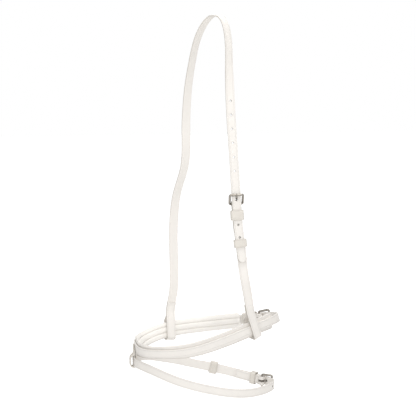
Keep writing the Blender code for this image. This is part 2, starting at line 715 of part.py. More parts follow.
def crown_rows(line):
    """Leaves one flat facet on the crown between its two ends."""
    s = line["flat"][:, 0]
    near = (np.abs(s - CROWN_S) < CROWN_FLAT + 2.0 * MM) & (np.abs(line["flat"][:, 1]) < 1e-6)
    first = int(np.argmax(near))
    before = {k: v[:first] for k, v in line.items()}
    after_at = first + int(np.count_nonzero(near))
    after = {k: v[after_at:] for k, v in line.items()}
    ends = []
    for sign in (-1.0, 1.0):
        s0 = CROWN_S + sign * CROWN_FLAT
        p, t, w, n = SLIP.at(s0)
        ends.append({"p": p, "t": t, "w": w, "n": np.cross(w, t), "flat": np.array([[s0, 0.0]]),
                     "run": np.array([np.interp(s0, s[first - 3:after_at + 3], line["run"][first - 3:after_at + 3])])})
    return {k: np.concatenate([before[k], ends[0][k], ends[1][k], after[k]]) for k in line}


def loop_strap(route, bar_s, chape_end, overlap):
    """One strap from its chape right round the loop to the tip of its billet, drawn as (along, outward)."""
    far = bar_s + route.length
    flat = [(a + bar_s, b, *rest) for a, b, *rest in chape(chape_end)]
    flat += [(bar_s + 40.0 * MM, 0.0), (far - RISE_END - BILLET_RISE, 0.0, 60.0 * MM),
             (far - RISE_END, LAYER, 40.0 * MM), (far + overlap, LAYER)]
    line = lay(route, rounded(flat), step=7.0 * MM)
    line = add_tip_rows(line, STRAP_W)
    return line


NOSE_BAR = NOSE.nearest(place_of(76.0, 39.0, -447.3))
LOWER_BAR = LOWER.nearest(place_of(75.2, 21.5, -538.9))
NOSE_START = NOSE_BAR - (NOSE.length if NOSE_BAR > NOSE.length / 2 else 0.0)
LOWER_START = LOWER_BAR - (LOWER.length if LOWER_BAR > LOWER.length / 2 else 0.0)
PAD_END = NEAR_AT + PAD_PAST
NOSE_FRONT = NOSE.nearest(place_of(-119.2, -3.0, -477.2))


def nose_width(s):
    """Widths of the noseband strap, which swells over the nose."""
    far = np.abs(np.asarray(s) - NOSE_FRONT)
    u = np.clip((WIDE_TO - far) / (WIDE_TO - WIDE_FROM), 0.0, 1.0)
    return STRAP_W + (NOSE_W - STRAP_W) * u * u * (3.0 - 2.0 * u)


def build_noseband():
    bar_s = NOSE_START
    line = loop_strap(NOSE, bar_s, NOSE_CHAPE, NOSE_BILLET)
    widths = tip_width(line["run"], line["run"][-1], STRAP_W) - STRAP_W + nose_width(line["flat"][:, 0])
    mesh = strap_mesh("noseband_strap", line, widths, STRAP_T, middle=True)
    hold = buckle("noseband", NOSE, bar_s, 1.0, 0.0)
    mesh = cut(mesh, [box_cutter(*hold["slot"])])
    tools = [rod_cutter(hold["spot"], hold["aim"], TONGUE_R + PRONG_CLEAR, 3.4 * STRAP_T)]
    for k in (-2, -1):
        p, t, w, n = [row[0] for row in NOSE.at(bar_s + hold["hole_s"] + k * HOLE_PITCH)]
        rise = np.interp(-(hold["hole_s"] + k * HOLE_PITCH), [RISE_END, RISE_END + BILLET_RISE], [LAYER, 0.0])
        tools.append(rod_cutter(p + rise * n, n, HOLE_R, 3 * STRAP_T))
    place("noseband_strap", cut(mesh, tools), NOSE.spot(NOSE.length / 2), LEATHER)
    keeper("noseband_fixed_keeper", NOSE, bar_s + NOSE_KEEPER_AT, 3, LAYER, NOSE_KEEPER_L)
    keeper("noseband_runner", NOSE, bar_s + NOSE_RUNNER_AT, 2, LAYER, RUNNER_L)
    return bar_s, [s for s, b in line["flat"] if abs(b) < 1e-6]


def lining_profile():
    """Half outlines of the lining's back, from the middle of the roll to the edge: (height, outward)."""
    back = PANEL_BACK + GAP
    rows = [(0.0, ROLL_OUT), (0.6 * ROLL_HALF, 0.8 * ROLL_OUT), (ROLL_HALF, 0.22 * ROLL_OUT),
            (1.35 * ROLL_HALF, 0.95 * MARGIN_OUT), (2.0 * ROLL_HALF, 0.85 * MARGIN_OUT),
            (0.94 * LINING_H / 2, 0.25 * MARGIN_OUT), (LINING_H / 2, 0.0)]
    return [(u, back + v) for u, v in rows]


def tidy_loop(loop):
    """Drops points that lie on the one before."""
    clean = []
    for pt in loop:
        if not clean or math.hypot(pt[0] - clean[-1][0], pt[1] - clean[-1][1]) > 1e-5:
            clean.append(pt)
    if math.hypot(clean[0][0] - clean[-1][0], clean[0][1] - clean[-1][1]) < 1e-5:
        clean.pop()
    return clean


def run_profile(name, rows, first, last, ends, loop, look):
    """A closed outline of (height, outward) points carried along the noseband, drawn in towards the base's ends."""
    places = [s for s in rows if first + 0.8 * MM < s < last - 0.8 * MM]
    rings = []
    for s in [first, *places, last]:
        p, t, w, n = [row[0] for row in NOSE.at(s)]
        near = min(1.0, (s - ends[0]) / PAD_END_RUN, (ends[1] - s) / PAD_END_RUN)
        k = 0.72 + 0.28 * math.sqrt(max(0.0, 1.0 - (1.0 - near) ** 2))
        rings.append([p + k * a * w + b * n for a, b in loop])
    place(name, wrap(name, rings), NOSE.spot(NOSE.length / 2), look)


def build_base(bar_s, rows):
    """The padded base that the noseband strap is sewn to: panel, lining and foam."""
    ends = start, end = bar_s + PAD_FROM, PAD_END
    rows = sorted([*rows, start + PAD_END_RUN / 3, end - PAD_END_RUN / 3])
    face, back = STRAP_T / 2 + TWIST_GAP, PANEL_BACK
    high = LINING_H / 2
    outside = [(high - EDGE, -face), (ROLL_HALF, -face), (0.0, -face), (-ROLL_HALF, -face), (EDGE - high, -face)]
    inside = [(k * high, -back) for k in (-1.0, -0.75, -0.38, 0.0, 0.38, 0.75, 1.0)]
    loop = [(high, -face - EDGE), *outside, (-high, -face - EDGE), *inside]
    run_profile("noseband_panel", rows, start, end, ends, loop, LEATHER)
    half = lining_profile()
    outer = [(u, v + LINING_T) for u, v in half]
    right_side = [(u, -v) for u, v in half] + [(u, -v) for u, v in reversed(outer)]
    loop = tidy_loop(right_side + [(-u, v) for u, v in reversed(right_side)])
    run_profile("noseband_lining", rows, start, end, ends, loop, LINING)

    base = PANEL_BACK + GAP
    top = [(min(u, LINING_H / 2 - 3.0 * MM), max(v - GAP, base + 0.35 * MM)) for u, v in half[:-2]]
    right_side = [(u, -base) for u, v in top] + [(u, -v) for u, v in reversed(top)]
    loop = tidy_loop(right_side + [(-u, v) for u, v in reversed(right_side)])
    run_profile("noseband_padding", rows, start + 3.0 * MM, end - 3.0 * MM, ends, loop, FOAM)


def build_stitching(bar_s):
    """The two rows of thread that hold the lining, along the face of the noseband."""
    line = lay(NOSE, [(bar_s + NOSE_BILLET + 3.0 * MM, 0.0), (PAD_END - 3.0 * MM, 0.0)], step=6.5 * MM)
    lift = STRAP_T / 2 + GAP + THREAD_R
    for name, side in (("noseband_upper_stitching", 1.0), ("noseband_lower_stitching", -1.0)):
        points = [NOSE.spot(s, lift, side * (nose_width(s) / 2 - STITCH_IN)) for s in line["flat"][:, 0]]
        place(name, wire_mesh(name, points, THREAD_R, False, sides=0), points[len(points) // 2], THREAD)


def build_lower():
    bar_s = LOWER_START
    line = loop_strap(LOWER, bar_s, LOWER_CHAPE, LOWER_BILLET)
    widths = tip_width(line["run"], line["run"][-1], STRAP_W)
    mesh = strap_mesh("lower_strap", line, widths, STRAP_T)
    hold = buckle("lower", LOWER, bar_s, 1.0, 0.0)
    mesh = cut(mesh, [box_cutter(*hold["slot"])])
    tools = [rod_cutter(hold["spot"], hold["aim"], TONGUE_R + PRONG_CLEAR, 3.4 * STRAP_T)]
    for k in (-2, -1, 3):
        reach = hold["hole_s"] + k * HOLE_PITCH
        p, t, w, n = [row[0] for row in LOWER.at(bar_s + reach)]
        rise = LAYER if reach > 0 else np.interp(-reach, [RISE_END, RISE_END + BILLET_RISE], [LAYER, 0.0])
        if reach > 0:
            tools.append(rod_cutter(p + rise * n + 0.5 * STRAP_T * n, n, HOLE_R, STRAP_T + GAP + STRAP_T / 2))
        else:
            tools.append(rod_cutter(p + rise * n, n, HOLE_R, 3 * STRAP_T))
    place("lower_strap", cut(mesh, tools), LOWER.spot(LOWER.nearest(place_of(-122.0, -3.0, -497.2))), LEATHER)
    keeper("lower_fixed_keeper", LOWER, bar_s + LOWER_KEEPER_AT, 3, LAYER, LOWER_KEEPER_L)
    keeper("lower_runner", LOWER, bar_s + LOWER_RUNNER_AT, 2, LAYER, RUNNER_L)


def build_flash_loop():
    """A strip sewn to the front of the noseband and turned under the lower strap."""
    p, t, w, n = [row[0] for row in NOSE.at(NOSE_FRONT)]
    q, tq, wq, nq = [row[0] for row in LOWER.at(LOWER.nearest(place_of(-122.0, -3.0, -497.2)))]
    out = unit(n - (n @ np.array([0, 0, 1.0])) * np.array([0, 0, 1.0]))
    up = np.array([0.0, 0.0, 1.0])
    side = np.cross(out, up)
    across = unit(t - (t @ np.array([0, 0, 1.0])) * np.array([0, 0, 1.0]))
    if side @ across < 0:
        side = -side
    strip = FLASH_T
    band_off = STRAP_T / 2 + 2 * THREAD_R + 2 * GAP + strip / 2

    def on_band(away, height):
        v = away * n + height * w
        return (float(v @ out), float(v @ up))

    c = q - p
    cx, cz = float(c @ out), float(c @ up)
    sewn_at = on_band(-STRAP_T / 2 - TWIST_GAP, -NOSE_W / 2)
    inside = min(cx - STRAP_T / 2 - FLASH_CLEAR - strip / 2, sewn_at[0] + GAP + strip / 2)
    outside = cx + STRAP_T / 2 + FLASH_CLEAR + FLASH_BULGE + strip / 2
    floor = cz - STRAP_W / 2 - FLASH_CLEAR + 0.4 * MM - strip / 2
    end = on_band(-STRAP_T / 2, -NOSE_W / 2 - GAP)[1] - 0.4 * MM
    top = on_band(band_off, NOSE_W / 2 - 1.5 * MM)
    low = on_band(band_off, -NOSE_W / 2)
    turn = (outside, cz + STRAP_W / 2)
    flat = [top, (*low, 3.0 * MM), (*turn, 6.0 * MM), (outside, floor, 4.6 * MM), (inside, floor, 2.4 * MM), (inside, end)]
    pts = np.array(fill_line(rounded(flat, arc=18.0), 5.0 * MM))
    pos = np.array([p + a * out + b * up for a, b in pts])
    run = np.concatenate([[0.0], np.cumsum(np.linalg.norm(np.diff(pos, axis=0), axis=1))])
    ahead = unit(np.gradient(pos, run, axis=0))
    wide = np.tile(side, (len(pos), 1))
    line = {"p": pos, "t": ahead, "w": wide, "n": np.cross(wide, ahead), "run": run, "flat": pts}
    place("flash_loop", strap_mesh("flash_loop", line, FLASH_W, strip), p, LEATHER)


def main():
    start_clean()
    build_sliphead()
    bar_s, rows = build_noseband()
    build_base(bar_s, rows)
    build_stitching(bar_s)
    build_lower()
    build_flash_loop()
    for obj in list(bpy.data.collections[CUT].objects):
        bpy.data.objects.remove(obj, do_unlink=True)


main()
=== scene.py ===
import math

import bmesh
import bpy
import numpy as np
from mathutils import Matrix, Vector
from mathutils.kdtree import KDTree


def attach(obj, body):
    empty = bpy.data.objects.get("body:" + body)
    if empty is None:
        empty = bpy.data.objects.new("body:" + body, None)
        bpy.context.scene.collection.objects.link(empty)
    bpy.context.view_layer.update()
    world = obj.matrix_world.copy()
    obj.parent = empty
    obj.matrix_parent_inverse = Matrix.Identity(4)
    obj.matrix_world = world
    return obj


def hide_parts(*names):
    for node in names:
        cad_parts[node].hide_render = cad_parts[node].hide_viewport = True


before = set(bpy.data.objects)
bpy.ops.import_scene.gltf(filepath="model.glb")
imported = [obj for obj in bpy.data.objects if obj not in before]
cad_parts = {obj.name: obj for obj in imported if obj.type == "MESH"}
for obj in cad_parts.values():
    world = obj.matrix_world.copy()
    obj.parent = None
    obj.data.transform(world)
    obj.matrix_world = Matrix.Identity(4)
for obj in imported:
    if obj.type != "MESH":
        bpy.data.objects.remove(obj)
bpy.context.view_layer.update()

MM = 0.001
UP = np.array([0.0, 0.0, 1.0])

# The whole: length and width of the noseband's loop, and height from the seat down to its front.
NOSE_LONG = 209.2 * MM
NOSE_ACROSS = 152.0 * MM
FRONT_DOWN = 477.2 * MM

# Leather straps.
STRAP_W = 13.0 * MM
NOSE_W = 16.0 * MM
WIDE_FROM = 55.0 * MM
WIDE_TO = 112.0 * MM
STRAP_T = 2.2 * MM
KEEPER_T = 1.5 * MM
KEEPER_R = 1.5 * MM
KEEPER_BOW = 0.25 * MM
END_R = 0.35 * MM
CUT_R = 0.5 * MM
CREASE = 0.12 * MM
CROWNED = 0.06 * MM
TIP_LONG = 0.5 * STRAP_W
BLEND_R = 60.0 * MM

# Stitches.
STITCH_IN = 1.9 * MM
SIDE_SEAM = STRAP_W / 2 - STITCH_IN
STITCH = 3.1 * MM
STITCH_SHARE = 0.74
STITCH_SLANT = math.radians(9.0)
STITCH_SIDES = 6
THREAD_R = 0.3 * MM
SUNK = 0.05 * MM
SEAM_IN = 3.0 * MM
SEAM_FREE = 0.8 * MM
CROSS_AT = 1.6 * MM
CROSS_IN = 2.0 * MM

# Padded base behind the noseband strap: a leather panel, foam and a soft lining.
LINING_H = 23.0 * MM
PANEL_T = 1.2 * MM
LINING_T = 0.9 * MM
ROLL_OUT = 3.7 * MM
ROLL_HALF = 4.3 * MM
MARGIN_OUT = 2.2 * MM
PAD_FROM = 34.0 * MM
PAD_PAST = 40.0 * MM
PAD_END_RUN = 5.0 * MM
PAD_FADE = 4.0 * MM

# Buckles.
WIRE_R = 1.65 * MM
FRAME_L = 15.0 * MM
FRAME_SIDE = 1.3 * MM
TONGUE_R = 0.9 * MM
PRONG_ANGLE = math.radians(62.0)
COIL_TURN = math.radians(300.0)
PRONG_REST = 0.1 * MM
SLOT_SIDE = 0.15 * MM
HOLE_R = 1.5 * MM
HOLE_EASE = 0.12 * MM
HOLE_WORN = 0.9 * MM
HOLE_SIDES = 22
HOLE_PITCH = 20.0 * MM
LOW_PITCH = 18.0 * MM

# Clearances.
GAP = 0.3 * MM
TWIST_GAP = 0.45 * MM
BAR_CLEAR = 0.3 * MM
RING_CLEAR = 0.25 * MM
PRONG_CLEAR = 0.75 * MM
KEEPER_CLEAR = 0.4 * MM
KEEPER_SIDE = 1.1 * MM
LOOP_CLEAR = 1.5 * MM
FLASH_CLEAR = 0.9 * MM
FLASH_BULGE = 1.7 * MM

# Places and lengths along the straps, counted from each buckle's bar, and the flash loop's size.
CROWN_CHAPE = 41.0 * MM
CROWN_BILLET = 84.0 * MM
CROWN_KEEPER_AT = 16.3 * MM
CROWN_KEEPER_L = 14.0 * MM
CROWN_RUNNER_AT = 56.5 * MM
NOSE_CHAPE = 17.5 * MM
NOSE_BILLET = 58.0 * MM
NOSE_KEEPER_AT = 12.5 * MM
NOSE_KEEPER_L = 7.0 * MM
NOSE_RUNNER_AT = 25.5 * MM
LOWER_CHAPE = 45.0 * MM
LOWER_BILLET = 103.0 * MM
LOWER_KEEPER_AT = 17.0 * MM
LOWER_KEEPER_L = 8.5 * MM
LOWER_RUNNER_AT = 80.0 * MM
RUNNER_L = 11.0 * MM
BILLET_RISE = 29.0 * MM
RISE_END = 16.0 * MM
FLASH_W = 12.0 * MM
FLASH_T = 2.0 * MM
FLASH_IN = 1.3 * MM
SEWN = 25.0 * MM
PRONG_SLOT = 5.0 * MM

LAYER = STRAP_T + GAP
WRAP_R = WIRE_R + BAR_CLEAR + STRAP_T / 2
CROWN_FLAT = 5.0 * MM

# How finely lines are drawn: steps along routes, straps and seams, and degrees to a facet in bends.
ROUTE_STEP = 0.5 * MM
LAY_STEP = 0.3 * MM
STRAP_STEP = 2.2 * MM
LONG_STEP = 1.5 * MM
STRAP_TURN = math.radians(6.0)
BEND_ARC = 7.0
COIL_STEPS = 28
PRONG_STEP = 0.8 * MM

# The photograph: where it is taken from, its width, its scale, and the pixel where the crown's seat shows.
VIEW = math.radians(-10.0)
VIEW_HEIGHT = math.radians(7.5)
VIEW_FAR = 2.6
PHOTO = 416
PIXEL = 1.45 * MM
SEAT_PIXEL = (216.0, 16.5)

# The studio: the floor, how bright it and the sky look, and each lamp's place, size, power and aim.
FLOOR_Z = -0.72
FLOOR_GLOW = 0.64
SKY = 0.52
LAMPS = {"key": ((-0.4, -3.2, 0.35), 2.4, 43.5, (-0.02, 0.0, -0.33)),
         "top": ((0.1, -0.2, 1.7), 1.4, 26.0, (-0.02, 0.0, -0.4))}


# Lines and routes.

def unit(v):
    return v / np.linalg.norm(v, axis=-1, keepdims=True)


def square(v, ahead):
    """The direction nearest to v that is square to ahead."""
    return unit(v - np.sum(v * ahead, axis=-1, keepdims=True) * ahead)


def angle(a, b):
    return math.acos(max(-1.0, min(1.0, float(a @ b))))


def turned(up, across, by):
    """Two square directions turned together in their own plane."""
    c, s = math.cos(by), math.sin(by)
    return c * up - s * across, c * across + s * up


def distances(points):
    """How far along a line of points each one lies."""
    return np.concatenate([[0.0], np.cumsum(np.linalg.norm(np.diff(points, axis=0), axis=1))])


def read_at(at, run, rows):
    """Rows that are known at the distances run, read at other distances."""
    return np.stack([np.interp(at, run, rows[:, k]) for k in range(rows.shape[1])], axis=-1)


def flat_dir(degrees):
    """A horizontal width direction, given as an angle from the picture plane."""
    h, d = -math.cos(math.radians(degrees)), -math.sin(math.radians(degrees))
    c, s = math.cos(-VIEW), math.sin(-VIEW)
    return np.array([h * c + d * s, -h * s + d * c, 0.0])


def place_of(x, y, z):
    """A point of the tables below, drawn for a loop 209.2 by 152 mm whose front hangs 477.2 mm down."""
    return np.array([x * NOSE_LONG / 209.2, y * NOSE_ACROSS / 152.0, z * FRONT_DOWN / 477.2])


def cubic(knots, values, at, closed):
    """Cubic spline through the values at the knots, read at the places asked for."""
    n = len(knots)
    h = np.diff(knots)
    slope = np.diff(values, axis=0) / h[:, None]
    a = np.eye(n)
    b = np.zeros((n, values.shape[1]))
    for i in range(0 if closed else 1, n - 1):
        last = (i - 1) % (n - 1)
        a[i, last], a[i, i], a[i, i + 1] = h[last], 2.0 * (h[last] + h[i]), h[i]
        b[i] = 6.0 * (slope[i] - slope[last])
    if closed:
        a[-1, 0] = -1.0
    second = np.linalg.solve(a, b)
    k = np.clip(np.searchsorted(knots, at, side="right") - 1, 0, n - 2)
    span = h[k][:, None]
    u = (at - knots[k])[:, None]
    v = span - u
    low, high = second[k], second[k + 1]
    bend = (low * v ** 3 + high * u ** 3) / (6.0 * span)
    straight = (values[k] / span - low * span / 6.0) * v + (values[k + 1] / span - high * span / 6.0) * u
    return bend + straight


class Route:
    """A smooth line in space with a width direction and an outward direction at every place."""

    def __init__(self, points, widths, side, closed=False):
        points, widths = np.array(points, float), unit(np.array(widths, float))
        if closed:
            points, widths = np.vstack([points, points[:1]]), np.vstack([widths, widths[:1]])
        knots = distances(points)
        at = np.linspace(0.0, knots[-1], int(knots[-1] / ROUTE_STEP) + 1)
        self.closed, self.side = closed, side
        self.p = cubic(knots, points, at, closed)
        self.s = distances(self.p)
        self.length = float(self.s[-1])
        if closed:
            ring = np.vstack([self.p[-2:-1], self.p, self.p[1:2]])
            self.t = unit(ring[2:] - ring[:-2])
        else:
            self.t = unit(np.gradient(self.p, self.s, axis=0))
        self.w = square(cubic(knots, widths, at, closed), self.t)
        self.n = side * np.cross(self.w, self.t)

    def at(self, s):
        """Place, forward, width and outward directions at distances along the line."""
        s = np.atleast_1d(np.asarray(s, float))
        if self.closed:
            s = np.mod(s, self.length)
        p, *dirs = [read_at(s, self.s, rows) for rows in (self.p, self.t, self.w, self.n)]
        if not self.closed:
            p = p + (s - np.clip(s, 0.0, self.length))[:, None] * dirs[0]
        return (p, *[unit(rows) for rows in dirs])

    def here(self, s):
        """The same at one distance."""
        return [rows[0] for rows in self.at(s)]

    def nearest(self, point):
        return float(self.s[np.argmin(np.linalg.norm(self.p - point, axis=1))])


def rounded(corners, closed=False, arc=BEND_ARC):
    """Corner points (a, b, radius) joined by straight runs and round bends."""
    pts = [np.array(corner[:2], float) for corner in corners]
    count = len(pts)
    out = []
    for i, corner in enumerate(corners):
        if len(corner) < 3 or (not closed and i in (0, count - 1)):
            out.append(pts[i])
            continue
        back, ahead = pts[i - 1] - pts[i], pts[(i + 1) % count] - pts[i]
        back_len, ahead_len = np.linalg.norm(back), np.linalg.norm(ahead)
        back, ahead = back / back_len, ahead / ahead_len
        turn = math.pi - angle(back, ahead)
        if turn < 1e-4:
            continue
        reach = min(corner[2] * math.tan(turn / 2), 0.5 * back_len, 0.5 * ahead_len)
        centre = pts[i] + unit(back + ahead) * math.hypot(reach / math.tan(turn / 2), reach)
        a0, a1 = pts[i] + back * reach - centre, pts[i] + ahead * reach - centre
        steps = max(2, int(math.ceil(math.degrees(turn) / arc)))
        for k in range(steps + 1):
            f = k / steps
            out.append(centre + (math.sin((1 - f) * turn) * a0 + math.sin(f * turn) * a1) / math.sin(turn))
    return out


def fill_line(pts, step):
    """Adds points so that no straight run is longer than the step."""
    pts = [np.asarray(p, float) for p in pts]
    out = pts[:1]
    for a, b in zip(pts[:-1], pts[1:]):
        n = max(1, int(math.ceil(np.linalg.norm(b - a) / step)))
        out.extend(a + (b - a) * k / n for k in range(1, n + 1))
    return out


def closed_line(corners, arc, step):
    """A closed line with round corners and no long runs."""
    flat = rounded(corners, closed=True, arc=arc)
    return np.array(fill_line(flat + flat[:1], step))[:-1]


def lay(route, flat, step=STRAP_STEP):
    """Carries a line drawn as (along, outward) on to the route; returns places and directions."""
    dense = np.array(fill_line(flat, LAY_STEP))
    p, _, w, n = route.at(dense[:, 0])
    p = p + dense[:, 1:2] * n
    run = distances(p)
    ahead = unit(np.gradient(p, run, axis=0))
    pick = [0]
    bent = 0.0
    for i in range(1, len(p)):
        bent += angle(ahead[i], ahead[i - 1])
        if run[i] - run[pick[-1]] >= step or bent > STRAP_TURN:
            pick.append(i)
            bent = 0.0
    if run[-1] - run[pick[-1]] < 0.3 * step:
        pick.pop()
    pick.append(len(p) - 1)
    w, ahead = square(w, ahead)[pick], ahead[pick]
    return {"p": p[pick], "t": ahead, "w": w, "n": route.side * np.cross(w, ahead), "run": run[pick],
            "flat": dense[pick]}


def tip_width(run, length):
    """Widths of a strap whose end is a rounded point."""
    u = np.clip(1.0 - (length - run) / TIP_LONG, 0.0, None)
    return STRAP_W * np.sqrt(np.clip(1.0 - 0.86 * u ** 2, 0.05, 1.0))


def add_tip_rows(line):
    """Closes up the places at the end of a line so that its rounded point is smooth."""
    length = line["run"][-1]
    shares = (1.0, 0.85, 0.7, 0.56, 0.44, 0.33, 0.24, 0.16, 0.1, 0.05, 0.0)
    wanted = [length - TIP_LONG * share for share in shares]
    runs = np.concatenate([line["run"][line["run"] < wanted[0] - 1.0 * MM], wanted])
    out = {key: read_at(runs, line["run"], line[key]) for key in ("p", "flat")}
    for key in ("t", "w", "n"):
        out[key] = unit(read_at(runs, line["run"], line[key]))
    return {**out, "run": runs}


def chape(end, bar_s, base=0.0):
    """The end of a strap turned round a buckle bar, drawn as (along, outward)."""
    flat = [(end, -LAYER), (9.0 * MM, -LAYER, 6.0 * MM), (1.5 * MM, -2 * WRAP_R, 6.0 * MM),
            (-WRAP_R, -2 * WRAP_R, WRAP_R), (-WRAP_R, 0.0, WRAP_R)]
    return [(a + bar_s, b + base, *rest) for a, b, *rest in flat]


# The noseband loop: places in millimetres and how far the upper edge leans outward, in degrees.
# It starts at the rear of the off side and runs forward, round the nose and back along the near side.
NOSE_POINTS = [
    (73.0, 41.7, -447.9, -6), (49.2, 58.5, -453.7, 0), (19.2, 69.3, -458.3, 2), (-14.0, 73.0, -461.8, 6),
    (-52.7, 69.8, -466.1, 18), (-81.7, 60.2, -471.8, 34), (-102.4, 44.9, -477.4, 40),
    (-113.6, 24.4, -478.4, 20), (-119.2, -3.0, -477.2, 4), (-115.4, -30.4, -477.6, 23),
    (-103.4, -50.9, -476.9, 34), (-81.7, -66.2, -474.8, 32), (-52.7, -75.8, -470.8, 23),
    (-14.0, -79.0, -460.2, 16), (19.2, -75.3, -449.5, 10), (49.2, -64.5, -440.5, 4),
    (73.0, -47.7, -436.0, -4), (87.2, -26.5, -435.2, -12), (90.0, -3.0, -438.0, -24),
    (87.2, 20.5, -442.7, -16),
]

# The lower strap loop, in the same order; it doesn't lean.
LOWER_POINTS = [
    (64.9, 32.3, -537.6), (42.2, 45.5, -533.1), (13.7, 54.1, -526.5), (-18.0, 57.0, -518.8),
    (-51.5, 54.2, -510.0), (-79.8, 46.0, -502.9), (-101.8, 33.2, -498.0), (-117.2, 16.6, -497.8),
    (-122.0, -3.0, -497.2), (-117.2, -22.6, -498.6), (-101.8, -39.2, -503.3), (-79.8, -52.0, -512.1),
    (-51.5, -60.2, -522.0), (-18.0, -63.0, -530.8), (13.7, -60.1, -537.3), (42.2, -51.5, -540.1),
    (64.9, -38.3, -539.5), (79.5, -21.5, -538.6), (84.5, -3.0, -539.2), (79.5, 15.5, -539.4),
]

# The sliphead between the two cheek loops: places and the angle of its width from the picture plane.
OFF_LEG = [
    (-51.6, 72.0, -411.2, 20), (-50.6, 70.9, -387.9, 15), (-51.1, 69.9, -356.9, 14),
    (-52.0, 68.1, -325.9, 14), (-51.3, 64.9, -294.9, 18), (-48.4, 59.3, -263.9, 27),
    (-44.0, 53.0, -243.5, 31), (-39.2, 47.6, -224.0, 28), (-37.0, 44.6, -205.0, 23),
    (-36.7, 42.9, -185.9, 20), (-36.9, 42.1, -159.5, 23), (-36.1, 40.9, -133.4, 30),
    (-34.5, 38.6, -107.2, 36), (-29.5, 32.1, -67.0, 43), (-25.0, 25.8, -40.9, 45), (-17.7, 16.8, -17.6, 45),
]
NEAR_LEG = [
    (12.2, -17.6, -17.6, 45), (14.0, -23.5, -39.2, 43), (13.6, -28.9, -64.3, 38), (13.2, -35.8, -95.6, 22),
    (13.3, -40.0, -115.3, 13), (13.6, -45.0, -140.3, 8), (14.4, -50.0, -165.2, 8), (15.3, -54.5, -190.2, 8),
    (16.2, -58.7, -215.3, 8), (17.0, -62.9, -240.2, 8), (17.8, -66.6, -261.6, 8), (19.3, -70.4, -291.8, 8),
    (21.5, -72.8, -312.9, 8), (24.3, -75.3, -338.4, 10), (27.6, -77.0, -366.5, 14), (32.4, -77.4, -394.0, 22),
]
CROWN_DIR = unit(np.array([0.62, -0.785, 0.0]))
CROWN_SIDE = np.array([CROWN_DIR[1], -CROWN_DIR[0], 0.0])


def loop_route(rows):
    points = np.array([place_of(*row[:3]) for row in rows])
    ahead = unit(np.roll(points, -1, axis=0) - np.roll(points, 1, axis=0))
    widths = []
    for t, (_, _, _, *lean) in zip(ahead, rows):
        lean = math.radians(lean[0] if lean else 0.0)
        rise = unit(UP - t[2] * t)
        widths.append(math.cos(lean) * rise + math.sin(lean) * np.cross(t, rise))
    return Route(points, widths, -1.0, closed=True)


NOSE = loop_route(NOSE_POINTS)
LOWER = loop_route(LOWER_POINTS)
NOSE_FRONT = NOSE.nearest(place_of(-119.2, -3.0, -477.2))
LOWER_FRONT = LOWER.nearest(place_of(-122.0, -3.0, -497.2))

# Where the cheek loops hang on the noseband, how they tilt, and how far they stand off it.
OFF_AT = NOSE.nearest(place_of(-58.2, 68.2, -467.0))
NEAR_AT = NOSE.nearest(place_of(43.2, -67.3, -442.0))
OFF_TILT = math.radians(14.0)
NEAR_TILT = math.radians(9.0)
PANEL_BACK = STRAP_T / 2 + TWIST_GAP + PANEL_T
LINING_BACK = PANEL_BACK + GAP + LINING_T + ROLL_OUT
OUT_SIDE = STRAP_T / 2 + LOOP_CLEAR + STRAP_T / 2
IN_SIDE = LINING_BACK + LOOP_CLEAR + STRAP_T / 2
SPREAD = OUT_SIDE + IN_SIDE
DROP = LINING_H / 2 + LOOP_CLEAR + 0.8 * MM + STRAP_T / 2
LOOP_R = STRAP_T / 2 + 1.3 * MM
TAIL = 26.0 * MM
TURN_END = DROP + SEWN
PAD_END = NEAR_AT + PAD_PAST


def hanging(at, tilt, away, way):
    """A cheek's places and widths along the noseband's side, from its low end up."""
    p, t, w, n = NOSE.here(at)
    rise, wide = turned(w, t, tilt)
    return [(p + away * n + k * rise, way * wide) for k in (-TAIL, -13.0 * MM, 0.0, 13.0 * MM, 24.0 * MM)]


def sliphead_route():
    """From under the noseband on the off side, over the crown, to under it on the near side."""
    rows = hanging(OFF_AT, OFF_TILT, LAYER - IN_SIDE, 1.0)
    rows += [(place_of(*place), flat_dir(degrees)) for *place, degrees in OFF_LEG]
    for k in (-9.0 * MM, -CROWN_FLAT, 0.0, CROWN_FLAT, 9.0 * MM):
        lift = STRAP_T / 2 - max(0.0, abs(k) - CROWN_FLAT) * 0.35
        rows.append((CROWN_DIR * k + lift * UP, CROWN_SIDE))
    rows += [(place_of(*place), flat_dir(degrees)) for *place, degrees in NEAR_LEG]
    rows += reversed(hanging(NEAR_AT, NEAR_TILT, OUT_SIDE, -1.0))
    return Route(*zip(*rows), 1.0)


SLIP = sliphead_route()
CROWN_S = SLIP.nearest(STRAP_T / 2 * UP)
BAR_S = SLIP.nearest(place_of(17.8, -66.6, -261.6))


def settle_crown(route):
    """Makes the top of the crown exactly flat, as the seat that lies over the poll."""
    gap = route.s - CROWN_S
    flat = np.abs(gap) <= CROWN_FLAT + 0.5 * MM
    route.p[flat] = CROWN_DIR * gap[flat][:, None] + STRAP_T / 2 * UP
    route.t[flat] = CROWN_DIR
    route.w[flat] = CROWN_SIDE
    route.n[flat] = np.cross(CROWN_SIDE, CROWN_DIR)


settle_crown(SLIP)


def cheek_loop(at, way, inside):
    """The turned-up end of a cheek, from its sewn end, round the noseband to the outer side.
    Either the inner layer or the outer one leaves the cheek's line to go round the noseband."""
    low, high = (-SPREAD, 0.0) if inside else (-LAYER, SPREAD - LAYER)
    top = DROP - 1.0 * MM
    flat = [(at + way * TURN_END, -LAYER)]
    if inside:
        flat += [(at + way * (top + 11.0 * MM), -LAYER, 8.0 * MM), (at + way * top, low, 6.0 * MM)]
    flat += [(at - way * DROP, low, LOOP_R), (at - way * DROP, high, LOOP_R)]
    if not inside:
        flat += [(at + way * top, high, 4.0 * MM), (at + way * (top + 6.0 * MM), 0.0, 5.0 * MM)]
    return flat


